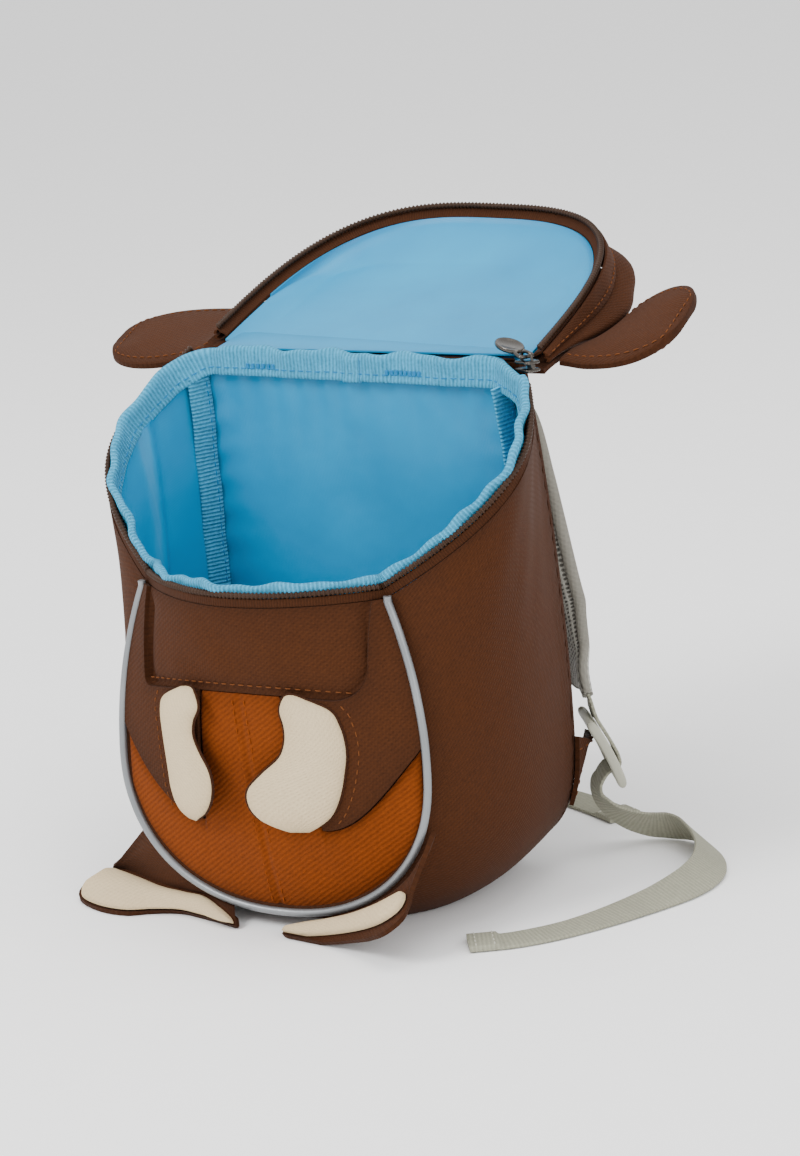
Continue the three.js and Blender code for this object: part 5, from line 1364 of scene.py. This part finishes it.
strapRows = [(37, 55.3, 184, 0.86, 0.5, 0), (37.5, 70, 185, 0.92, 0.85, -4), (40, 79.5, 176, 1, 1, -10),
             (45, 84, 150, 1, 1, -16), (51, 86, 120, 0.96, 1, -20), (58, 86, 94, 0.9, 1, -24),
             (66, 81, 79, 0.72, 0.85, -38), (73, 73.5, 69.5, 0.52, 0.6, -54), (75.4, 72, 64, 0.42, 0.5, -58)]
strapLook = dict(width=38, thick=9, webbing=15, webbingThick=1.4)


def makeStrap(side, name, stands):
    # A padded strap: a lens section with flat sewn edges and a channel down each side
    n = 260
    rows = np.array(strapRows, float)
    path = curveThrough(rows[:, :3] * [side, 1, 1], n - 1)
    table = softened(straightAt(rows[:, 3:], np.linspace(0, 1, n)), 10)
    turn = np.radians(table[:, 2])
    out, up = squareTo(along(path), np.stack([side * np.cos(turn), np.sin(turn), 0 * turn], 1))
    a = (np.arange(56) + 0.5) / 56 * 2 * np.pi
    c, s = np.cos(a), np.sin(a)
    x = np.sign(c) * np.abs(c) ** 0.7
    edge = np.abs(x)
    fat = np.sign(s) * np.abs(s) ** 0.75 * (1 - 0.45 * np.exp(-((edge - 0.8) / 0.05) ** 2))
    wave = 1 + 0.05 * waves(np.linspace(0, 9, n), 0, 101, 0.6, 1.6)
    section = np.stack([x[None] * strapLook["width"] / 2 * table[:, :1],
                        fat[None] * strapLook["thick"] / 2 * table[:, 1:2] * wave[:, None]], -1)
    piece = sweep(name, path, out, up, section, greyCloth, "grey_mesh", stands=stands)
    piece.data.materials.append(strapMesh)
    middle = np.tile((edge < 0.78), n - 1)
    index = np.zeros(len(piece.data.polygons), int)
    index[: len(middle)] = middle
    piece.data.polygons.foreach_set("material_index", index)
    lines = []
    for e in (-0.8, 0.8):
        for s in (1, -1):
            high = strapLook["thick"] / 2 * table[:, 1:2] * 0.5 * (1 - 0.8**2.6) ** 0.5
            lines.append(((path + out * e * strapLook["width"] / 2 * table[:, :1] + up * s * high)[6:-6],
                          (up * s)[6:-6]))
    stitches(name + "Stitches", lines, greyThread, slot="grey_webbing")


for side, end in ((1, "Right"), (-1, "Left")):
    makeStrap(side, "strap" + end, "shoulder_strap_" + end.lower())

lockCentre = np.array([80.5, 71, 43])
lockDown = unit(np.array([0.3, 0.26, -0.92]))
lockAcross, lockOut = squareTo(lockDown, np.array([0.52, -0.83, 0.18]))
lockLook = dict(length=31, width=24, thick=4, rail=4, bow=1.2, bar=(4.2, 3.2), bars=(-0.46, -0.1, 0.16, 0.44))


def onLock(side, down, across, out):
    # A place in the lock's own frame: down its length, across it and out of its face
    down, across, out = (np.asarray(a, float)[..., None] for a in (down, across, out))
    p = lockCentre + lockDown * down + lockAcross * across + lockOut * out
    return p * [side, 1, 1]


def gather(parts):
    # Several closed grids in one mesh, each turned outwards
    vertices, quads, caps, first = [], [], [], 0
    for points, closed in parts:
        n, k = points.shape[:2]
        faces = gridFaces(n, k, closed, True, first)
        ends = [] if closed else [first + np.arange(k)[::-1], first + np.arange(k) + (n - 1) * k]
        flat = points.reshape(-1, 3)
        middle = flat.mean(0)
        a, b, c = (flat[faces[:, j] - first] - middle for j in range(3))
        if np.einsum("ij,ij->", a, np.cross(b, c)) < 0:
            faces, ends = faces[:, ::-1], [cap[::-1] for cap in ends]
        vertices.append(flat)
        quads.append(faces)
        caps += ends
        first += n * k
    quads = np.vstack(quads)
    return np.vstack(vertices), quads, np.zeros((len(quads), 4, 2)), caps


def makeLock(side, name, stands):
    # A moulded ladder frame: two bowed rails and four round bars, each a swept rounded section
    flip = np.array([side, 1, 1])
    made = []
    for s in (-1, 1):
        t = np.linspace(-1, 1, 40)
        rise = lockLook["bow"] * (1 - t**2)
        path = onLock(side, t * lockLook["length"] / 2, s * (lockLook["width"] / 2 - 2), rise)
        out, up = squareTo(along(path), np.broadcast_to(lockAcross * flip, path.shape))
        ends = np.sqrt(np.clip(1 - np.abs(t) ** 12, 0.12, 1))[:, None, None]
        rail = softRectangle(lockLook["rail"], lockLook["thick"], 20, 4)[None] * ends
        made.append((onSection(path, out, up, rail), False))
    for place in lockLook["bars"]:
        t = np.linspace(-1, 1, 16)
        rise = lockLook["bow"] * (1 - (2 * place) ** 2)
        down = place * (lockLook["length"] - 3)
        path = onLock(side, down + 0 * t, t * (lockLook["width"] / 2 - 2), rise + 0 * t)
        out, up = squareTo(along(path), np.broadcast_to(lockDown * flip, path.shape))
        made.append((onSection(path, out, up, softRectangle(*lockLook["bar"], 20, 3)), False))
    vertices, quads, uv, caps = gather(made)
    addPiece(name, vertices, quads, uv, lockPlastic, "grey_plastic", stands=stands, caps=caps)


for side, end in ((1, "Right"), (-1, "Left")):
    makeLock(side, "ladderLock" + end, "ladder_lock_" + end.lower())


def makeTab(side, name, stands):
    # The brown tab from the back seam to the lock's top bar
    u, v = grid(30, 24)
    w = side * lerp(0.52, 0.38, v)
    seam = backSeamPoint(w) + seamShape(w, backSeam)[2] * 1.75 + [0, 0.2, 0]
    bar = onLock(side, -7.2 + 0 * v, lerp(6.5, -6.5, v), -1.7 + 0 * v)
    p = lerp(seam, bar, u[..., None])
    p = p + gridNormals(p) * (0.5 * np.sin(np.pi * u) * waves(u * 2, v * 2, 111, 0.5, 1.2))[..., None]
    wall(name, p, 0.9, -0.9, brownCanvas, "brown_canvas", stands=stands)
    n = gridNormals(p)
    stitches(name + "Stitches", [(p[row, 3:28] + n[row, 3:28] * s * 0.9, n[row, 3:28] * s)
                                 for row in (3, 21) for s in (1, -1)], brownThread)


for side, end in ((1, "Right"), (-1, "Left")):
    makeTab(side, "strapTab" + end, "strap_tab_" + end.lower())

lockRoute = [(-12.5, 3.6), (-7, 3.9), (-1, 4.3), (4, 4.2), (7.4, 3.1), (8.4, 0.6), (8.2, -2)]
rightTail = [
    (78.6, 70.4, 30, 0.6, -0.8, 0), (77.5, 71, 25, 0.72, -0.7, 0), (79, 73, 19.5, 0.86, -0.5, 0.1),
    (82.5, 77, 14, 0.85, -0.4, 0.4), (87, 81, 10, 0.75, -0.35, 0.6), (93, 85, 7.4, 0.5, -0.4, 0.8),
    (100, 87, 6.9, 0.2, -0.5, 0.9), (107, 86, 6.9, -0.1, -0.6, 0.85), (115, 81, 6.4, -0.35, -0.6, 0.75),
    (123, 73, 5.6, -0.5, -0.5, 0.66), (129.5, 63, 4.8, -0.6, -0.4, 0.6), (133.5, 52, 4.2, -0.7, -0.2, 0.5),
    (134, 41, 3.6, -0.8, 0, 0.42), (132, 31, 3, -0.85, 0.2, 0.34), (128, 21, 2.4, -0.88, 0.35, 0.22),
    (123, 10, 1.8, -0.88, 0.4, 0.12), (117, -2, 1.2, -0.88, 0.45, 0.05), (110, -14, 0.8, -0.86, 0.5, 0),
    (102.5, -25, 0.8, -0.82, 0.56, 0), (93, -35, 0.8, -0.78, 0.62, 0), (80, -44, 0.8, -0.7, 0.7, 0)]
leftTail = [
    (-78.6, 70.6, 30, -0.6, -0.8, 0), (-78, 72, 24, -0.72, -0.7, 0), (-78, 76, 16, -0.86, -0.5, 0),
    (-79, 84, 9, -0.95, -0.2, 0), (-79, 94, 4, -1, 0, 0), (-76, 106, 1.2, -0.96, -0.25, 0),
    (-68, 118, 0.8, -0.75, -0.65, 0), (-55, 127, 0.8, -0.45, -0.9, 0), (-38, 132, 0.8, -0.2, -1, 0),
    (-19, 134, 0.8, 0, -1, 0), (0, 133, 0.8, 0.1, -1, 0), (19, 130, 0.8, -0.15, -1, 0),
    (37, 124, 0.8, -0.3, -0.95, 0), (54, 116, 0.8, -0.45, -0.9, 0), (70, 107, 0.8, -0.5, -0.86, 0)]


def makeWebbing(side, tail, name, stands):
    # Flat webbing out of the strap's end, over the lock and along its loose end, with a folded, sewn tip
    across = tuple(lockAcross * [side, 1, 1])
    end = strapRows[-1]
    rows = [(side * (end[0] + 0.3), end[1] + 0.1, end[2] - 2.1) + across]
    rows += [tuple(onLock(side, down, 0, out)) + across for down, out in lockRoute]
    rows = np.array(rows + tail, float)
    n = 520
    path = curveThrough(rows[:, :3], n - 1)
    wide = straightAt(rows[:, 3:], np.linspace(0, 1, n))
    out, up = squareTo(along(path), wide)
    reach = (np.abs(out[:, 2]) * strapLook["webbing"] + np.abs(up[:, 2]) * strapLook["webbingThick"]) / 2
    path[:, 2] = np.maximum(path[:, 2], reach + 0.05)
    left = np.cumsum(np.linalg.norm(np.diff(path, axis=0, prepend=path[:1]), axis=1))
    fromEnd = left[-1] - left
    folded = 1 - smooth((fromEnd - 11) / 1.5)
    thick = strapLook["webbingThick"] * (1 + 0.9 * folded)
    section = softRectangle(strapLook["webbing"], 1, 30, 8)[None] * np.stack([1 + 0 * thick, thick], 1)[:, None]
    sides = np.where(up[:, 2] < 0, -1, 1)[:, None]
    lifted = path + up * sides * ((thick - strapLook["webbingThick"]) / 2)[:, None]
    sweep(name, lifted, out, up, section, greyWebbing, "grey_webbing", stands=stands)
    u = np.linspace(-1, 1, 30)
    lines = []
    for distance in (2.5, 9.5):
        i = int(np.argmin(np.abs(fromEnd - distance)))
        top = lifted[i] + up[i] * sides[i] * thick[i] / 2
        lines.append((top + out[i] * u[:, None] * 6, np.broadcast_to(up[i] * sides[i], (30, 3))))
    stitches(name + "Stitches", lines, greyThread, slot="grey_webbing", length=1.8, gap=0.8)


makeWebbing(1, rightTail, "webbingRight", "webbing_right")
makeWebbing(-1, leftTail, "webbingLeft", "webbing_left")
print("straps made")

# Zip slider and puller

sliderLook = dict(centre=(76.8, 40, 203.4), turn=-25, length=9, width=7.6, height=4.2, rest=16, link=5.5,
                  disc=6, wide=1.12, high=0.86, thick=1.6, wire=0.75)
pivot = 3.6


def toSlider(p, tilt=0.0):
    # Tipped about the pivot's own axis, then turned about Z and moved to the slider's place
    a = math.radians(tilt)
    x, y, z = p[..., 0], p[..., 1], p[..., 2]
    if tilt:
        x, z = x * math.cos(a) + z * math.sin(a), -x * math.sin(a) + z * math.cos(a) + pivot
    b = math.radians(sliderLook["turn"])
    return vector(x * math.cos(b) - y * math.sin(b), x * math.sin(b) + y * math.cos(b), z) + sliderLook["centre"]


def plateRings(length, width, thick, z, waist=0.0):
    # A plate with round corners and edges, its outline drawn in at the middle, as rings from low to high
    outline = softRectangle(length, width, 40, 4)
    outline[:, 1] *= 1 - waist * np.cos(np.clip(outline[:, 0] / length * math.pi, -1.5, 1.5)) ** 2
    rings = []
    for share, size in ((-0.5, 0.9), (-0.4, 0.97), (-0.2, 1), (0.2, 1), (0.4, 0.97), (0.5, 0.9)):
        rings.append(np.column_stack([outline * size, np.full(40, z + share * thick)]))
    return np.array(rings)


def tube(path, radius, sides=10, closed=False):
    way = along(path, closed)
    out, up = squareTo(way, np.broadcast_to([0.13, 0.2, 0.97], path.shape))
    return onSection(path, out, up, circle(radius, sides))


def makeSlider(look):
    # Two waisted plates round a wedge, with a wire bridge over the top
    top = look["height"] / 2
    plates = [plateRings(look["length"], look["width"], 1.2, s * (top - 0.6), 0.22) for s in (1, -1)]
    wedge = plateRings(3.6, 2, look["height"] - 1, 0) + [2.5, 0, 0]
    t = np.linspace(0, np.pi, 30)
    bridge = vector(-np.cos(t) * 3.2, 0, top + 3.4 * np.sin(t) ** 0.5)
    parts = [(toSlider(p), False) for p in plates + [wedge, tube(bridge, 0.6)]]
    vertices, quads, uv, caps = gather(parts)
    addPiece("zipSlider", vertices, quads, uv, gunMetal, "dark_metal", stands="zip_slider", caps=caps, crisp=40)


def makePuller(look):
    # A wire loop under the bridge and an oval disc with a raised rim
    w, end = 2.9, -look["link"]
    loop = np.array([(0.1, -w), (0.4, 0), (0.1, w), (end * 0.5, w * 0.95), (end, w * 0.7), (end - 0.3, 0),
                     (end, -w * 0.7), (end * 0.5, -w * 0.95)])
    loop = evenly(np.column_stack([loop, 0 * loop[:, 0]]), 60, True)
    loop = softened(loop, 2, True)
    middle = end - look["disc"] + 0.6
    angle = np.arange(48) / 48 * 2 * np.pi
    rings = []
    for r, z in ((0.02, -0.55), (0.72, -0.55), (0.8, -0.8), (0.95, -0.8), (1, -0.4), (1, 0.4), (0.95, 0.8),
                 (0.8, 0.8), (0.72, 0.55), (0.02, 0.55)):
        rings.append(vector(middle + look["disc"] * look["wide"] * r * np.cos(angle),
                            look["disc"] * look["high"] * r * np.sin(angle), z * look["thick"] / 1.6))
    parts = [(toSlider(tube(loop, look["wire"], 10, True), look["rest"]), True),
             (toSlider(np.array(rings), look["rest"]), False)]
    vertices, quads, uv, caps = gather(parts)
    addPiece("zipPuller", vertices, quads, uv, gunMetal, "dark_metal", body="zip_pull", stands="zip_puller",
             caps=caps, crisp=40)


makeSlider(sliderLook)
makePuller(sliderLook)
print("slider and puller made")
